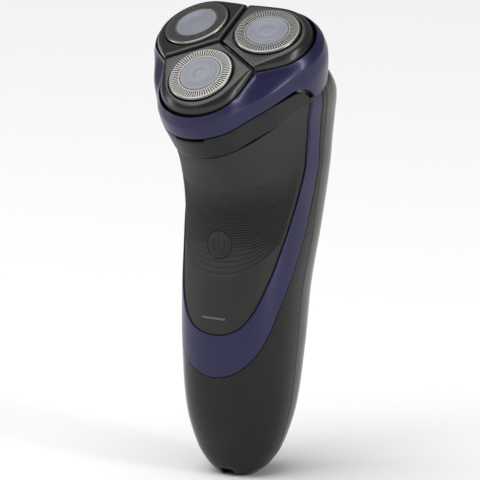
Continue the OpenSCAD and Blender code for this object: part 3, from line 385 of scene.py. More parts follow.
GLOSS_SHELL = material("gloss_shell", (0.006, 0.0055, 0.005), 0.11, scale=2500, ior=1.36)
BROWN_SHELL = material("brown_shell", (0.036, 0.029, 0.025), 0.24, grain=0.04, scale=2500, ior=1.4)
GRIP = material("grip", (0.024, 0.0235, 0.0215), 0.60, grain=0.35, scale=4200, ior=1.36)
BUTTON = material("button_satin", (0.021, 0.021, 0.020), 0.42, grain=0.15, scale=4200, ior=1.36)
PRINT = material("print_black", (0.008, 0.008, 0.008), 0.5, grain=0.05)
INDIGO = material(
    "indigo_lacquer", (0.017, 0.0155, 0.056), 0.30, metallic=0.3, coat=0.15, flake=0.3, ior=1.36,
)
SATIN = material("satin_grey", (0.007, 0.008, 0.009), 0.40, grain=0.08, scale=3500, ior=1.34)
PETAL = material("petal_black", (0.010, 0.010, 0.010), 0.27, grain=0.03, scale=3000)
CAP_STEEL = material("cap_steel", (0.27, 0.265, 0.25), 0.30, metallic=1.0, grain=0.06, scale=1800)
STEEL = material("turned_steel", (0.58, 0.58, 0.60), 0.28, metallic=1.0, grain=0.05, scale=1500)
BLADE_STEEL = material("blade_steel", (0.55, 0.55, 0.56), 0.3, metallic=1.0, grain=0.05, scale=1500)
PALE_BLUE = material("pale_blue", (0.195, 0.205, 0.24), 0.34, coat=0.1, scale=2500)
# Near black: the switch's own black plastic, and painted shade on the floors of the caps' slots.
SLOT_SHADE_AND_SWITCH_BLACK = material("painted_slot_shade_and_switch_black", (0.006, 0.006, 0.006), 0.6)
LIGHT = material("light_lens", (0.085, 0.085, 0.080), 0.3)
INNER = material("inner_plastic", (0.30, 0.31, 0.33), 0.45, grain=0.1, scale=2500)
ACETAL = material("gear_acetal", (0.72, 0.70, 0.64), 0.4, grain=0.05, scale=2500)
BOARD = material("board_green", (0.02, 0.11, 0.055), 0.35, grain=0.08, scale=2500)
CELL = material("cell_sleeve", (0.05, 0.18, 0.11), 0.25, coat=0.2, scale=2500)
BY_SLOT = {
    "gloss_shell": GLOSS_SHELL, "gloss_black": PETAL, "brown_shell": BROWN_SHELL, "grip": GRIP,
    "indigo_lacquer": INDIGO, "satin_grey": SATIN, "light_lens": LIGHT, "pale_blue": PALE_BLUE,
    "cap_steel": CAP_STEEL, "cutter_steel": BLADE_STEEL, "steel": STEEL, "motor_steel": STEEL,
    "frame_plastic": INNER, "gear_plastic": ACETAL, "switch_black": SLOT_SHADE_AND_SWITCH_BLACK, "board_green": BOARD,
    "cell_wrap": CELL,
}
for part in frame["record"]["subparts"]:
    holder = NODES[part["node"]]
    for obj in [holder, *holder.children_recursive]:
        if obj.type == "MESH":
            obj.data.materials.clear()
            obj.data.materials.append(BY_SLOT[part["material_slot"]])

# ---- outlines of the front panel ---------------------------------------------
# Grip and accent band share two outlines, given as half angle and height along
# one index. They are mirrored at the front line, so the bottom of the U is round.
GRIP_ANGLES = [0, 12, 24, 33, 43, 52, 58, 66, 76, 90.5, 92]
GRIP_HEIGHTS = [49.2, 49.9, 51.8, 54.8, 60, 68, 77, 87, 96, 109, 126]
BAND_ANGLES = [0, 14, 27, 42, 54, 65, 75, 83, 92, 101.5, 101]
BAND_HEIGHTS = [34.9, 35.9, 38.2, 42.7, 48.5, 56.3, 66, 80, 95, 108, 126]


def outline(angles, heights, t):
    """Half angle and height at index t, from the table mirrored about t = 0."""
    xs = np.arange(-10, 11)
    a = np.concatenate([-np.array(angles[:0:-1], float), angles])
    z = np.concatenate([heights[:0:-1], heights])
    return curve(xs, a, t), curve(xs, z, t)


FINE_T = np.linspace(0, 10, 1201)
GRIP_EDGE = outline(GRIP_ANGLES, GRIP_HEIGHTS, FINE_T)
BAND_EDGE = outline(BAND_ANGLES, BAND_HEIGHTS, FINE_T)


def edge_at(edge, z):
    """Half angle of an outline at a height."""
    return np.interp(z, edge[1], edge[0])


# ---- front shell ---------------------------------------------------------------
# Gloss black moulding of the lower front and the sides, with a stepped recess for
# the band and the grip. It is clipped to the rear shell along the side joint.
ROUND_X, ROUND_D = edge_round(0.35, 6)
PER_MM = 180 / math.pi / 22       # degrees for a millimetre along the side, which is about 22 mm out
NOTCH_TOP, INLET_HALF = 1.6, 2.2  # height and half width of the charging notch at the tip


def notched(points, z):
    """Sets the tip's lowest rows on the floor, and on the notch's top across the charging inlet."""
    low = NOTCH_TOP * (1 - step(np.abs(points[:, 0]), INLET_HALF, INLET_HALF + 0.2))
    points[:, 2] = low + (3 - low) * z / 3
    return points


z_rows = np.concatenate([
    np.linspace(0, 34.6, 60), BAND_EDGE[1][[1, 40, 80, 120, 160, 200, 240, 300, 360]],
    np.linspace(BAND_EDGE[1][400], SIDE_TOP, 110),
])
rows = []
for z in z_rows:
    side = 90 + float(joint_angle(z)) - GAP / 2 * PER_MM
    inside = z >= BAND_EDGE[1][1]
    edge = float(edge_at(BAND_EDGE, z)) if inside else 0.3
    near = side - ROUND_X * PER_MM
    far = edge + ROUND_X[::-1] * 0.6 * PER_MM
    mid = np.linspace(near[-1], far[0], 44)[1:-1]
    half = np.concatenate([near, mid, far, [edge - 0.02], np.linspace(edge - 0.05, 0, 9)])
    depth = np.concatenate([
        ROUND_D, np.zeros(42), ROUND_D[::-1] * (0.6 if inside else 0), np.full(10, RECESS if inside else 0.0),
    ])
    angles = np.concatenate([-half, half[::-1][1:]])
    depths = np.concatenate([depth, depth[::-1][1:]])
    halves = [leaned(angles - 90, z, depths), leaned(angles[::-1] - 90, z, wall(z))]
    rows.append(np.concatenate([notched(half, z) if z < 3 else half for half in halves]))
BUTTON_Z, BUTTON_R, HOLE_GAP = 78.3, 4.5, 0.14
LIGHT_Z, LIGHT_HALF, LIGHT_HIGH = 54.7, 4.45, 0.45


def button_hole(grow):
    """Round cutter through the front wall at the button."""
    r, round_a = BUTTON_R + grow, np.radians(np.arange(96) * 3.75)
    return prism("hole", r * np.cos(round_a), BUTTON_Z + r * np.sin(round_a), -30, -6)


front_shell = cut(outward(wall_body("front_shell_skin", rows)), button_hole(1.0))
dress(front_shell, GLOSS_SHELL, "handle", "gloss_shell", "front_shell")

# ---- accent band ----------------------------------------------------------------
# Indigo lacquered U between the shell and the grip, seated in the recess. Its rows
# cross the band from the grip's outline to the outer outline.
t = np.linspace(0, 10, 140)
t = np.concatenate([-t[:0:-1], t])
in_a, in_z = outline(GRIP_ANGLES, GRIP_HEIGHTS, np.abs(t))
out_a, out_z = outline(BAND_ANGLES, BAND_HEIGHTS, np.abs(t))
sign = np.where(t < 0, -1, 1)
span = np.hypot((out_a - in_a) / PER_MM, out_z - in_z)
x, d = edge_round(0.3, 5)
rows = []
for i in range(len(t)):
    s = np.concatenate([(GAP + x) / span[i], np.linspace(0.1, 0.9, 9), 1 - (GAP + x[::-1]) / span[i]])
    depth = np.concatenate([d, np.zeros(9), d[::-1]])
    a = in_a[i] + (out_a[i] - in_a[i]) * s
    z = in_z[i] + (out_z[i] - in_z[i]) * s
    outer = leaned(sign[i] * a - 90, z, depth)
    inner = leaned(sign[i] * a[::-1] - 90, z[::-1], SEAT)
    rows.append(np.concatenate([outer, inner]))
band = wall_body("accent_band_skin", rows, sharp=50)
dress(band, INDIGO, "handle", "indigo_lacquer", "accent_band")

# ---- grip -----------------------------------------------------------------------
# Soft matt panel inside the band, 0.5 mm below it. Its mesh rows follow the fine
# ribs, which sag towards the front line and get wider down to the smooth tongue.
RIB_LOW, RIB_HIGH, RIB_DEPTH = 67.9, 107.0, 0.36
RISE_Z = [49, 58, 68, 78, 89, 101, 112, 126]
RISE = [0, 0.003, 0.0036, 0.0022, 0.00125, 0.0008, 0.0004, 0]
PITCH_Z, PITCH = [68, 80, 95, 107], [2.0, 1.45, 1.0, 0.82]


def rib_rise(z0):
    """How a row that crosses the front line at z0 rises to the sides: z = z0 + k a^2."""
    return np.interp(z0, RISE_Z, RISE)


def ledge(x, width):
    """Quarter round at an edge: w(1 - sqrt(1 - (1 - x/w)^2)) for distances x below w."""
    q = np.clip(1 - np.asarray(x, float) / width, 0, 1)
    return width * (1 - np.sqrt(1 - q * q))


fine_z = np.linspace(RIB_LOW, RIB_HIGH, 800)
pitch = np.interp(fine_z, PITCH_Z, PITCH)
turns = np.concatenate([[0], np.cumsum(np.diff(fine_z) / pitch[1:])])
rib_turns = np.arange(0, math.floor(turns[-1]) + 1e-6, 0.125)
tongue_z = GRIP_EDGE[1][0] + 0.02
low_z = tongue_z + (RIB_LOW - tongue_z) * np.linspace(0, 1, 44)[:-1] ** 1.7
rib_z = np.interp(rib_turns, turns, fine_z)
rows_z = np.concatenate([low_z, rib_z, np.linspace(rib_z[-1], SIDE_TOP, 14)[1:]])
rows_turn = np.concatenate([np.zeros(len(low_z)), rib_turns, np.zeros(13)])
p = np.sin(np.radians(np.linspace(-90, 90, 97)))
rows = []
for z0, turn in zip(rows_z, rows_turn):
    k = float(rib_rise(z0))
    edge = float(edge_at(GRIP_EDGE, z0))
    for _ in range(40):
        edge = 0.5 * edge + 0.5 * float(edge_at(GRIP_EDGE, z0 + k * edge * edge))
    a = p * (edge - 0.14 * PER_MM)
    z = z0 + k * a * a
    up = np.maximum(z - np.interp(np.abs(a), *GRIP_EDGE), 0.0)
    across = np.maximum((edge_at(GRIP_EDGE, z) - np.abs(a)) / PER_MM, 0.0)
    near = up * across / np.maximum(np.hypot(up, across), 1e-6)
    relief = RIB_DEPTH * (0.5 - 0.5 * math.cos(2 * math.pi * turn)) ** 1.8
    relief *= 1 - 0.7 * step(z0, 90, RIB_HIGH)
    relief = relief * step(across, 0.5, 2.6)
    outer = leaned(a - 90, z, PROUD + ledge(near, 0.35) + relief)
    rows.append(np.concatenate([outer, leaned(a[::-1] - 90, z[::-1], SEAT)]))
grip = outward(wall_body("grip_skin", rows))
end_a = np.radians(np.concatenate([np.linspace(-90, 90, 13), np.linspace(90, 270, 13)]))
end_x = np.repeat([1.0, -1.0], 13) * (LIGHT_HALF - LIGHT_HIGH)
slot_x = end_x + (LIGHT_HIGH + 0.08) * np.cos(end_a)
slot_z = LIGHT_Z + (LIGHT_HIGH + 0.08) * np.sin(end_a)
cut(grip, button_hole(HOLE_GAP), prism("slot", slot_x, slot_z, -30, -6))
dress(grip, GRIP, "handle", "grip", "grip_panel")

# ---- power button ----------------------------------------------------------------
# Round button of satin plastic in the grip's hole, pressed straight back. Its face
# follows the grip and carries the usual ring and bar, moulded a little below it.
SIGN_R, SIGN_GAP = 2.15, math.radians(36)  # ring of the sign, and half its gap at the top
x, d = edge_round(0.3, 6)
r = np.concatenate([np.linspace(0.04, BUTTON_R - 0.32, 110), (BUTTON_R - x)[::-1]])[:, None]
sunk = np.concatenate([np.zeros(110), d[::-1]])[:, None]
a = np.radians(np.arange(180) * 2.0)[None, :]
u, v = r * np.cos(a), r * np.sin(a)
out = np.hypot(u, v)
gap_x, gap_z = SIGN_R * math.sin(SIGN_GAP), SIGN_R * math.cos(SIGN_GAP)
to_end = np.hypot(np.abs(u) - gap_x, v - gap_z)
to_ring = np.where(np.abs(np.arctan2(u, v)) > SIGN_GAP, np.abs(out - SIGN_R), to_end)
to_bar = np.hypot(u, v - np.clip(v, 0.75, 2.85))
relief = 0.16 * (1 - step(np.minimum(to_ring, to_bar), 0.17, 0.27))
relief = relief + 0.07 * (1 - step(np.abs(out - 3.75), 0.05, 0.16))
face = front_point(u, BUTTON_Z + v, PROUD + 0.06 + sunk + relief)
back = front_point(0, BUTTON_Z, PROUD)[1] + 2.6
side = np.stack([u[-1], np.full(180, back), BUTTON_Z + v[-1]], axis=-1)
button = disc_body("power_button_skin", np.concatenate([face, side[None]]), sharp=60)
dress(button, BUTTON, "power_button", "satin_grey", "power_button")

# ---- charge light ------------------------------------------------------------------
# Pale lens in a slot of the grip's smooth tongue, fixed from behind.
s = np.linspace(-1, 1, 61)
x = LIGHT_HALF * np.sin(s * math.pi / 2)
past = np.clip(np.abs(x) - LIGHT_HALF + LIGHT_HIGH, 0, None) / LIGHT_HIGH
tall = LIGHT_HIGH * np.sqrt(np.clip(1 - past ** 2, 0.003, 1))
q = np.sin(np.linspace(-90, 90, 11) * math.pi / 180)
crown = front_point(x[:, None], LIGHT_Z + tall[:, None] * q, PROUD - 0.02 + 0.16 * q ** 4)
under = front_point(x[:, None], LIGHT_Z + tall[:, None] * q[::-1], SEAT)
lens = disc_body("charge_light_skin", np.concatenate([crown, under], axis=1), sharp=60)
dress(lens, LIGHT, "handle", "light_lens", "charge_light")

# ---- charging mark -----------------------------------------------------------------
# Printed sign above the light: a plug between two turning arrows.
MARK_X, MARK_Z, BOW_X, BOW_Z = -0.9, 63.6, 3.3, 2.7


def ribbon(name, x, z, width):
    """Printed stroke along a line, 0.02 mm proud of the grip.

    Each place has four points: half the width to each side, at the top and at the bottom.
    """
    x, z, width = (np.asarray(v, float) for v in (x, z, width))
    tx, tz = np.gradient(x), np.gradient(z)
    n = np.hypot(tx, tz)
    nx, nz = -tz / n * width / 2, tx / n * width / 2
    sides = [(1, PROUD - 0.02), (-1, PROUD - 0.02), (-1, PROUD + 0.1), (1, PROUD + 0.1)]
    loops = [front_point(MARK_X + x + nx * s, MARK_Z + z + nz * s, d) for s, d in sides]
    dress(disc_body(name, np.stack(loops, axis=1), sharp=30), PRINT, "handle", "grip")


def bow(name, turn, angle, width):
    """Printed stroke along the oval about the sign."""
    a = np.radians(angle)
    ribbon(name, turn * (BOW_X * np.cos(a) + 0.1), turn * BOW_Z * np.sin(a), width)


t = np.linspace(0, 1, 30)
for name, turn in (("left", 1.0), ("right", -1.0)):
    bow("mark_bow_" + name, turn, 218 - 70 * t, 0.16 + 0.42 * np.sin(math.pi * t) ** 0.7)
    bow("mark_head_" + name, turn, 148 - 18 * t, 1.25 * (1 - t) + 0.05)
t = np.linspace(-1, 1, 12)
ribbon("mark_plug", 0.62 * t - 0.15, 0.75 * t, 1.5 - 0.25 * t ** 4)
for name, off in (("left", -0.38), ("right", 0.38)):
    ribbon("mark_prong_" + name, 0.5 + 0.3 * t + off * 0.77, 1.15 + 0.36 * t - off * 0.64, np.full(12, 0.24))
t = np.linspace(0, 1, 20)
ribbon("mark_lead", -0.72 - 0.5 * t ** 2, -0.75 - 1.3 * t, np.full(20, 0.3))

# ---- rear shell -----------------------------------------------------------------
# Dark brown-grey back, clipped to the front shell. Openings for the trimmer and its
# switch are cut; three knuckles at the top carry the shaving unit's hinge pin.
z_rows = np.concatenate([np.linspace(0, 9, 24), np.linspace(9.4, SIDE_TOP, 190)])
rows = []
for z in z_rows:
    side = float(joint_angle(z)) + GAP / 2 * PER_MM
    near = side + ROUND_X * PER_MM
    mid = np.linspace(near[-1], 180 - near[-1], 120)[1:-1]
    angles = np.concatenate([near, mid, 180 - near[::-1]])
    depths = np.concatenate([ROUND_D, np.zeros(118), ROUND_D[::-1]])
    rows.append(np.concatenate([leaned(angles, z, depths), leaned(angles[::-1], z, wall(z))]))
rear_shell = outward(wall_body("rear_shell_skin", rows))


# The trimmer's hinge lies TRIM_IN under the back surface at TRIM_Z.
TRIM_Z, TRIM_IN, TRIM_HALF, TRIM_H, TRIM_GAP = 104.0, 4.5, 10.0, 17.0, 0.25
TRIM_Y = float(skin(90, TRIM_Z)[1]) - TRIM_IN
SWITCH_Z = 93.5
SWITCH_Y = float(skin(90, SWITCH_Z)[1])
LEAN_LOW, LEAN_HIGH = (float(curve(HEIGHTS, BACKS, SWITCH_Z + dz)) for dz in (-4, 4))
SWITCH_LEAN = math.atan((LEAN_HIGH - LEAN_LOW) / 8)
HINGE_Y, HINGE_Z = 21.5, 134.0


def at_switch(p):
    """From the switch's frame (x across, y out, z up) to the back: turned by the lean about X, then moved."""
    y, z = p[:, 1], p[:, 2]
    c, s = math.cos(SWITCH_LEAN), math.sin(SWITCH_LEAN)
    return np.stack([p[:, 0], SWITCH_Y + y * c + z * s, SWITCH_Z - y * s + z * c], axis=-1)


open_half = TRIM_HALF + TRIM_GAP
cut(
    rear_shell,
    block("opening", (-open_half, TRIM_Y - 2.5, TRIM_Z), (open_half, TRIM_Y + 20, TRIM_Z + TRIM_H + 2.9)),
    bar("round", -open_half, open_half, TRIM_Y, TRIM_Z, TRIM_IN + 0.42),
    block("pocket", (-6.6, -1.5, -7.3), (6.6, 4.5, 4.4), at_switch),
    block("stem", (-2.6, -8, -5.3), (2.6, 2, 2.3), at_switch),
)
dress(rear_shell, BROWN_SHELL, "handle", "brown_shell", "rear_shell")
for name, x, w in (("left", -13.4, 3), ("mid", 0, 12), ("right", 13.4, 3)):
    knuckle = bar("hinge_knuckle_" + name, x - w / 2, x + w / 2, HINGE_Y, HINGE_Z, 2.7)
    dress(knuckle, BROWN_SHELL, "handle", "brown_shell")

# ---- trimmer door --------------------------------------------------------------------
# Brown-grey cover of the pop-up trimmer, flush with the back. Its lower end is a round
# barrel that turns about the pin in the rear shell; a rib behind it holds the comb.


def back_point(x, z, d=0.0):
    """Surface point at a place of the back view, sunk by d.

    y is put back into the tapered width until it settles.
    """
    x, z, d = same_shape(x, z, d)
    a, f, b, k, yc = section(z, d)
    y = b
    for _ in range(8):
        c = np.abs(x) / (a * (1 + k * (y - yc) / ((b - f) / 2)))
        y = yc + (b - yc) * (1 - c ** POWER) ** (1 / POWER)
    return np.stack([x, y, z], axis=-1)


def door_side(x, z, d):
    """Points of the door at a height, sunk by d: on the back's surface, or on the barrel below the hinge."""
    p = back_point(x, z, d)
    if z < TRIM_Z:
        p[:, 1] = np.minimum(p[:, 1], TRIM_Y + math.sqrt(TRIM_IN ** 2 - (z - TRIM_Z) ** 2) - d)
    return p


x = np.concatenate([-TRIM_HALF + ROUND_X, np.linspace(-9.5, 9.5, 61), TRIM_HALF - ROUND_X[::-1]])
side_d = np.concatenate([ROUND_D, np.zeros(61), ROUND_D[::-1]])
turn = np.radians(np.linspace(-70, 0, 26))[:-1]
door_top = TRIM_Z + TRIM_H
z_rows = np.concatenate([
    TRIM_Z + TRIM_IN * np.sin(turn), np.linspace(TRIM_Z, door_top - 0.4, 46), door_top - ROUND_X[::-1],
])
top_d = np.concatenate([np.zeros(len(turn) + 46), ROUND_D[::-1]])
rows = [
    np.concatenate([door_side(x, z, 0.02 + np.maximum(side_d, d)), door_side(x[::-1], z, 1.47)])
    for z, d in zip(z_rows, top_d)
]
door = outward(wall_body("trimmer_door_skin", rows, sharp=40))
dress(door, BROWN_SHELL, "trimmer_door", "brown_shell", "trimmer_door")
rib = cut(
    block("trimmer_rib", (-8.7, TRIM_Y - 0.3, TRIM_Z + 8), (8.7, TRIM_Y + 2.9, TRIM_Z + 14)),
    block("slot", (-15, TRIM_Y + 0.35, TRIM_Z + 10.6), (15, TRIM_Y + 1.55, TRIM_Z + 30)),
)
dress(rib, BROWN_SHELL, "trimmer_door", "brown_shell")
barrel = bar("trimmer_barrel", -9.5, 9.5, TRIM_Y, TRIM_Z, 1.7)
tongue = block("trimmer_tongue", (-4.6, TRIM_Y - 0.6, TRIM_Z - 1), (4.6, TRIM_Y + 3.3, TRIM_Z + 1.4))
for piece in (barrel, tongue):
    cut(piece, bar("pin_hole", -12, 12, TRIM_Y, TRIM_Z, 0.86))
    dress(piece, BROWN_SHELL, "trimmer_door", "brown_shell")

# ---- shaving unit: outline ---------------------------------------------------------
# The unit is a triangle with round corners about the three heads. Its rim follows
# the petals, its skirt follows the handle's joint plane.
DEPTHS = [7, 9.5, 13.3, 18, 23]
CORNER_R = [16, 16.6, 16.7, 16, 15.1]
REACH_F = [15.27, 15.27, 15.27, 15.5, 15.9]
REACH_B = [15.27, 15.27, 15.2, 14.7, 13.9]
RING_R, LEAN = 15.27, math.radians(7)
RINGS = [270, 30, 150]
NOTCH_R, PETAL_R, GROOVE = 19.0, 14.7, 1.0


def corner_radius(angle, r, c):
    """Distance from the middle to a triangle with round corners of radius r at distance c.

    Near a corner it is c cos + sqrt(r^2 - (c sin)^2), and along a side it bulges by up to 0.7 mm.
    """
    off = np.abs((angle + 750) % 120 - 60)
    tangent = np.degrees(np.arctan2(r * math.sin(math.pi / 3), c + r * 0.5))
    o = np.radians(off)
    near = c * np.cos(o) + np.sqrt(np.maximum(r * r - (c * np.sin(o)) ** 2, 0))
    q = np.clip((off - tangent) / (60 - tangent), 0, 1)
    far = (c / 2 + r) / np.cos(np.radians(60 - off)) + 0.7 * np.sin(np.radians(90 * q)) ** 2
    return np.where(off < tangent, near, far)


def head_radius(angle, depth):
    """Outline of the unit at a depth; the corner distance blends from the front to the back ones."""
    f = step(0.5 - 0.8 * np.sin(np.radians(angle)), 0, 1)
    back, front = curve(DEPTHS, REACH_B, depth), curve(DEPTHS, REACH_F, depth)
    return corner_radius(angle, curve(DEPTHS, CORNER_R, depth), back + (front - back) * f)


notch_u, notch_v = NOTCH_R * 0.5 - RING_R, NOTCH_R * math.sin(math.pi / 3)
NOTCH_A = math.degrees(math.atan2(notch_v, notch_u))
TANGENT = NOTCH_A - math.degrees(math.acos(PETAL_R / math.hypot(notch_u, notch_v)))
GROOVE_REACH = RING_R * math.sin(math.pi / 3) - GROOVE / 2


def petal_edge(angle, inset):
    """Outline of a petal about its head: a round, a straight side, then the side along the groove."""
    a = np.abs(angle)
    side = (PETAL_R - inset) / np.maximum(np.cos(np.radians(a - TANGENT)), 0.3)
    groove = (GROOVE_REACH - inset) / np.maximum(np.cos(np.radians(a - 150)), 0.3)
    return np.where(a <= TANGENT, PETAL_R - inset, np.minimum(side, groove))


def polar(r, a, h):
    """Point at radius r, angle a in degrees and height h of the head frame."""
    r, a, h = np.broadcast_arrays(r, a, h)
    return np.stack([r * np.cos(np.radians(a)), r * np.sin(np.radians(a)), h], axis=-1)


RIM_STEPS, RIM_GAP, RIM_LOW, RIM_HIGH = 72, 0.35, 5.3, 2.4
HOUSING_WALL = 1.6
t = (np.arange(-RIM_STEPS, RIM_STEPS) + 0.5) / RIM_STEPS
rim = []
for b in RINGS:
    a = t * NOTCH_A
    r = petal_edge(a, -RIM_GAP)
    h = -(RIM_LOW + (RIM_HIGH - RIM_LOW) * np.abs(t) ** 3)
    x = RING_R * math.cos(math.radians(b)) + r * np.cos(np.radians(a + b))
    y = RING_R * math.sin(math.radians(b)) + r * np.sin(np.radians(a + b))
    rim.append(np.stack([x, y, h], axis=-1))
rim = np.concatenate(rim)
rim_a = np.degrees(np.arctan2(rim[:, 1], rim[:, 0]))
rim_r = np.hypot(rim[:, 0], rim[:, 1])
JOINT_GAP = 0.3
SKIRT_LOW = SEAM_DEPTH - JOINT_GAP


def edge_depth(a, w0, d0):
    """Depth of an edge that is given over w, found where its point on the unit's outline has that w."""
    d = np.full(np.shape(a), 16.0)
    for _ in range(30):
        d = 0.5 * d + 0.5 * np.interp(head_radius(a, d) * np.sin(np.radians(a)), w0, d0)
    return np.minimum(d, SKIRT_LOW)


def lip_depth(a):
    """Depth of the unit's lower edge: the lip in front, an arch over the collar's end, the skirt behind."""
    return edge_depth(a, [-60, -8, -5, -2.8, -1.2, 0.1, 1.3, 2.1, 2.4, 60],
                      [LIP_DEPTH, LIP_DEPTH, 13.45, 14.1, 15.3, 16.9, 19.0, 21.2, SKIRT_LOW, SKIRT_LOW])


# ---- head housing -------------------------------------------------------------------
# Indigo lacquered cover of the shaving unit, in one piece with its hinge lugs. It
# turns back with everything that it carries.
low = lip_depth(rim_a)
rows = []
for q in np.concatenate([[0.0], np.linspace(0.02, 0.98, 22)]):
    depth = low + (11.4 - low) * q
    inset = 0.3 * (1 - np.sqrt(1 - np.clip(1 - (low - depth) / 0.3, 0, 1) ** 2))
    rows.append(polar(head_radius(rim_a, depth) - inset, rim_a, -depth))
waves = np.fft.rfftfreq(len(rim))


def softened(v, width):
    """Values round the rim blurred by a bell of some points' width: each wave times exp(-2(pi f w)^2)."""
    return np.fft.irfft(np.fft.rfft(v) * np.exp(-2 * (math.pi * waves * width) ** 2), len(v))


for s in np.linspace(1, 0.04, 26):
    width = 7.0 * s ** 0.6 * step(s, 0.0, 0.25)
    r, h = softened(rim_r, width), softened(rim[:, 2], width)
    f = np.sin(np.radians(90 * s)) ** (1 + 0.8 * (h + RIM_LOW) / 3)
    rows.append(polar(r + (head_radius(rim_a, 9.5) - r) * f, rim_a, h + (-9.5 - h) * s))
rows.append(rim + [0, 0, -0.02])
rows.append(polar(rim_r - 0.06, rim_a, rim[:, 2] - 0.12))
rows.append(polar(rim_r - 0.06, rim_a, np.minimum(rim[:, 2] - 0.5, -9.2)))
rows.append(polar(head_radius(rim_a, 10.0) - HOUSING_WALL, rim_a, -10.0))
for q in (0.5, 0.0):
    depth = low + (10.4 - low) * q
    rows.append(polar(head_radius(rim_a, depth) - HOUSING_WALL, rim_a, -depth))
housing = ring_body("head_housing_skin", in_head(np.stack(rows)), sharp=55)
dress(housing, INDIGO, "shaving_unit", "indigo_lacquer", "head_housing")
pin_w = (HINGE_Y + HEAD_REACH) * math.cos(TILT) + (HINGE_Z - HEAD_Z) * math.sin(TILT)
pin_h = -(HINGE_Y + HEAD_REACH) * math.sin(TILT) + (HINGE_Z - HEAD_Z) * math.cos(TILT)
LUG_X, LUG_HALF, LUG_EYE, LUG_TOP = 9, 2.5, 2.1, -19.4
a = np.radians(np.linspace(180, 360, 24))
eye = np.stack([pin_w + LUG_EYE * np.cos(a), pin_h + LUG_EYE * np.sin(a)], axis=-1)
shape = np.concatenate([eye, [[pin_w + 0.4, LUG_TOP], [pin_w - 2.5, LUG_TOP]]])
for name, x in (("left", -LUG_X), ("right", LUG_X)):
    ends = [np.insert(shape, 0, x + side, axis=1) for side in (-LUG_HALF, LUG_HALF)]
    dress(disc_body("hinge_lug_" + name, in_head(np.stack(ends))), INDIGO, "shaving_unit", "indigo_lacquer")

# ---- release collar -----------------------------------------------------------------
# Satin grey band under the unit's lip, pressed back to free the unit. A slot for a
# fingernail is cut in its upper edge at the front.


def top_of(a):
    """Depth of the collar's upper edge: 0.3 mm under the lip, then falling away to a point at each end."""
    return edge_depth(a, [-60, -14.6, -12.6, -8, -3.9, -2.7, -1.9, -0.6, 0.4, 60],
                      [13.6, 13.6, 13.76, 14.4, 15.1, 15.6, 16.4, 18.4, 20.6, 27])


COLLAR_LOW, COLLAR_WALL, SLOT_HALF, SLOT_DEEP = SKIRT_LOW - 0.2, 2, 5.0, 1.0
scan = np.linspace(150, 390, 4801)
live = scan[top_of(scan) < COLLAR_LOW - 0.25]
a = np.linspace(live[0], live[-1], 420)
top = top_of(a)
across = np.abs(head_radius(a, 14.5) * np.cos(np.radians(a)))
top = top + SLOT_DEEP * (1 - step(across, SLOT_HALF, SLOT_HALF + 0.3)) * (np.sin(np.radians(a)) < -0.5)
rows = []
x, d = edge_round(0.5, 6)
for q in range(6):
    rows.append(polar(head_radius(a, top + x[q]) - d[q], a, -(top + x[q])))
low_c = np.full_like(a, COLLAR_LOW)
for q in np.linspace(0.1, 0.97, 12):
    depth = top + 0.5 + (low_c - top - 0.5) * q
    rows.append(polar(head_radius(a, depth), a, -depth))
rows.append(polar(head_radius(a, low_c) - 0.25, a, -low_c))
outer = np.stack(rows)
inner = np.stack([
    polar(head_radius(a, low_c) - COLLAR_WALL, a, -low_c),
    polar(head_radius(a, top + 0.2) - COLLAR_WALL, a, -(top + 0.05)),
])
rows = np.swapaxes(np.concatenate([outer, inner]), 0, 1)
collar = disc_body("release_collar_skin", in_head(rows), sharp=45)
dress(collar, SATIN, "release_collar", "satin_grey", "release_collar")


# ---- petals ---------------------------------------------------------------------------
# Three gloss black rocking covers, one round each head, parted by narrow grooves.
def at_ring(i, p):
    """From the frame of head i to the shaver: lean 7 degrees, move out, turn, then the head frame.

    In the frame of a head x runs outward and z along its axis.
    """
    b = math.radians(RINGS[i])
    c, s = math.cos(b), math.sin(b)
    x = p[..., 0] * math.cos(LEAN) + p[..., 2] * math.sin(LEAN) + RING_R
    h = -p[..., 0] * math.sin(LEAN) + p[..., 2] * math.cos(LEAN)
    y = p[..., 1]
    return in_head(np.stack([x * c - y * s, x * s + y * c, h], axis=-1))


CAP_R, CAP_GAP, PETAL_TOP, PETAL_WALL = 10.75, 0.35, -0.8, 1.3
notches = [-NOTCH_A, NOTCH_A, -NOTCH_A + 0.6, NOTCH_A - 0.6]
pa = np.unique(np.concatenate([np.linspace(-180, 180, 241)[:-1], notches]))
out = 1 - step(np.abs(pa), 62, NOTCH_A + 6)
roll_w = 1.1 + 1.9 * out
roll_h = 1.0 + 3.4 * out
skirt = -2.55 - 6.65 * out
hole = CAP_R + CAP_GAP
rows = [polar(petal_edge(pa, 0.12 * (1 - out)), pa, skirt)]
for q in np.radians(np.linspace(0, 90, 13)):
    rows.append(polar(petal_edge(pa, roll_w * (1 - math.cos(q))), pa, PETAL_TOP - roll_h * (1 - math.sin(q))))
edge = petal_edge(pa, roll_w)
for s in (0.33, 0.66):
    rows.append(polar(edge + (hole + CAP_GAP - edge) * s, pa, PETAL_TOP))
x, d = edge_round(0.3, 5)
for q in range(4, -1, -1):
    rows.append(polar(hole + x[q], pa, PETAL_TOP - d[q]))
rows.append(polar(hole, pa, PETAL_TOP - PETAL_WALL))
rows.append(polar(petal_edge(pa, 0.9 + roll_w * 0.5), pa, PETAL_TOP - PETAL_WALL))
rows.append(polar(petal_edge(pa, 0.6), pa, skirt))
petal_rows = np.stack(rows)
for i in range(3):
    petal = ring_body(f"petal_{i + 1}_skin", at_ring(i, petal_rows), sharp=50)
    dress(petal, PETAL, f"petal_{i + 1}", "gloss_black", f"petal_{i + 1}")
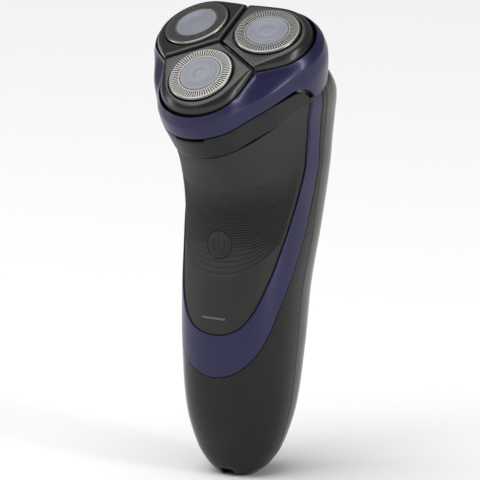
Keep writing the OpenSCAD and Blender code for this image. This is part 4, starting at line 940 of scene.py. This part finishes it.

# ---- slotted caps ---------------------------------------------------------------------
# Steel caps with 72 fine slots over the blades and a rolled outer rim. The slots are shallow grooves
# whose floors are painted near black as painted shade. Each sinks into its petal on springs, together with
# the disc in its middle.
SLOTS, SLOT_W, SLOT_D, SLOT_IN, SLOT_OUT, DISC_R = 72, 0.32, 0.34, 7.45, 10.05, 6.9
FLANGE_LOW = PETAL_TOP - PETAL_WALL - 0.05
x, d = edge_round(0.5, 6)
profile = np.array(
    [[DISC_R + 0.1, -0.3], [DISC_R + 0.12, -0.05], [DISC_R + 0.18, 0]]
    + [[SLOT_IN - 0.02, 0], [SLOT_IN + 0.02, 0]]
    + [[r, 0] for r in np.linspace(SLOT_IN + 0.2, SLOT_OUT - 0.2, 6)]
    + [[SLOT_OUT - 0.02, 0], [SLOT_OUT + 0.02, 0]]
    + [[CAP_R - x[q], -d[q]] for q in range(5, -1, -1)]
    + [[CAP_R, FLANGE_LOW], [CAP_R - 0.45, FLANGE_LOW], [CAP_R - 0.45, -0.4], [DISC_R + 0.1, -0.4]]
)
r = profile[:, :1]
half = np.degrees(np.arcsin(SLOT_W / 2 / r))
between = np.broadcast_to([1.9, 3.1], (len(r), 2))
places = np.concatenate([-half - 0.12, -half + 0.12, half - 0.12, half + 0.12, between], axis=1)
angle = (np.arange(SLOTS)[None, :, None] * 360 / SLOTS + places[:, None, :]).reshape(len(r), -1)
inside = (r > SLOT_IN) & (r < SLOT_OUT) & (profile[:, 1:] > -0.01)
in_slot = inside & np.tile([False, True, True, False, False, False], SLOTS)[None, :]
cap_rows = polar(r, angle, profile[:, 1:] - SLOT_D * in_slot)
for i in range(3):
    cap = ring_body(f"shaving_cap_{i + 1}_skin", at_ring(i, cap_rows), sharp=35)
    dress(cap, CAP_STEEL, f"shaving_head_{i + 1}", "cap_steel", f"shaving_cap_{i + 1}")
    # The slot floors are painted near black: painted shade in place of the open slots' depth.
    two_tone(cap, in_slot, SLOT_SHADE_AND_SWITCH_BLACK)

# ---- cap discs ------------------------------------------------------------------------
# Pale blue-grey discs snapped into the caps: a raised rim, a step, a finely turned
# ring and a plain middle.
RIB_IN, RIB_OUT, RIB_PITCH = 4.2, 5.4, 0.2
spans = ((0.03, 2.1, 6), (2.2, 4.0, 10), (4.1, 5.5, 57), (5.6, 6.5, 8))
r = np.concatenate([np.linspace(*span) for span in spans])
z = 0.1 - 0.06 * step(r, 2.1, 2.3) + 0.06 * step(r, 3.95, 4.15) + 0.12 * step(r, 5.55, 5.75)
fine = 0.5 - 0.5 * np.cos(2 * math.pi * (r - RIB_IN) / RIB_PITCH)
z = z - 0.018 * fine * ((r > RIB_IN) & (r < RIB_OUT))
x, d = edge_round(0.3, 5)
r = np.concatenate([r, (DISC_R - x)[::-1], [DISC_R]])[:, None]
z = np.concatenate([z, 0.22 - d[::-1], [-0.9]])[:, None]
disc_rows = polar(r, np.arange(144)[None, :] * 2.5, z)
for i in range(3):
    disc = disc_body(f"cap_disc_{i + 1}_skin", at_ring(i, disc_rows), sharp=40)
    dress(disc, PALE_BLUE, f"shaving_head_{i + 1}", "pale_blue", f"cap_disc_{i + 1}")

# ---- stage -------------------------------------------------------------------------------
# Plain white floor under a soft sky, a lamp in front, a strip light on each side and a
# wide overhead light. The camera stands 2 m away, to the right of the front.
scene = bpy.context.scene
scene.view_settings.view_transform = "Standard"
plain = bpy.data.materials.new("stage_white")
plain.use_nodes = True
plain.node_tree.nodes["Principled BSDF"].inputs["Base Color"].default_value = (0.9, 0.9, 0.9, 1)
plain.node_tree.nodes["Principled BSDF"].inputs["Roughness"].default_value = 0.9
FLOOR = 3000
corners = [[-FLOOR, -FLOOR, 0], [FLOOR, -FLOOR, 0], [FLOOR, FLOOR, 0], [-FLOOR, FLOOR, 0]]
floor = build("stage_floor", corners, [[0, 1, 2, 3]], smooth=False)
floor.data.materials.append(plain)
world = bpy.data.worlds.new("stage_world")
scene.world = world
world.use_nodes = True
world.node_tree.nodes["Background"].inputs["Color"].default_value = (1, 1, 1, 1)
world.node_tree.nodes["Background"].inputs["Strength"].default_value = 0.22


def place_round(obj, azimuth, elevation, distance, height):
    """Stands a light or the camera in a direction about the shaver, aimed at its axis at a height."""
    a, e = math.radians(azimuth), math.radians(elevation)
    back = np.array([math.sin(a) * math.cos(e), -math.cos(a) * math.cos(e), math.sin(e)])
    obj.location = np.array([0, 0, height]) + back * distance
    obj.rotation_mode = "QUATERNION"
    obj.rotation_quaternion = mathutils.Vector(-back).to_track_quat("-Z", "Y")
    scene.collection.objects.link(obj)


def lamp(name, azimuth, elevation, distance, size, power, size_y=None):
    """Soft area light aimed at the middle of the shaver."""
    data = bpy.data.lights.new(name, "AREA")
    data.shape, data.size, data.size_y, data.energy = "RECTANGLE", size, size_y or size, power
    place_round(bpy.data.objects.new(name, data), azimuth, elevation, distance, 0.08)


lamp("key", -25, 40, 1.1, 0.5, 1.5)
lamp("left_strip", -66, 12, 0.9, 0.16, 2.4, 0.9)
lamp("right_strip", 84, 14, 0.9, 0.14, 4.0, 0.9)
overhead = bpy.data.objects.new("overhead", bpy.data.lights.new("overhead", "SUN"))
overhead.data.energy, overhead.data.angle = 2.3, math.radians(60)
overhead.rotation_euler = (math.radians(12), math.radians(-8), 0)
scene.collection.objects.link(overhead)

SENSOR, DISTANCE, VIEW_WIDTH = 36, 2.0, 0.1554
camera = bpy.data.objects.new("camera", bpy.data.cameras.new("camera"))
camera.data.sensor_width = SENSOR
camera.data.lens = SENSOR * DISTANCE / VIEW_WIDTH
camera.data.clip_start, camera.data.clip_end = 0.1, 20
place_round(camera, 30.9, 13.3, DISTANCE, 0.0772)
scene.camera = camera
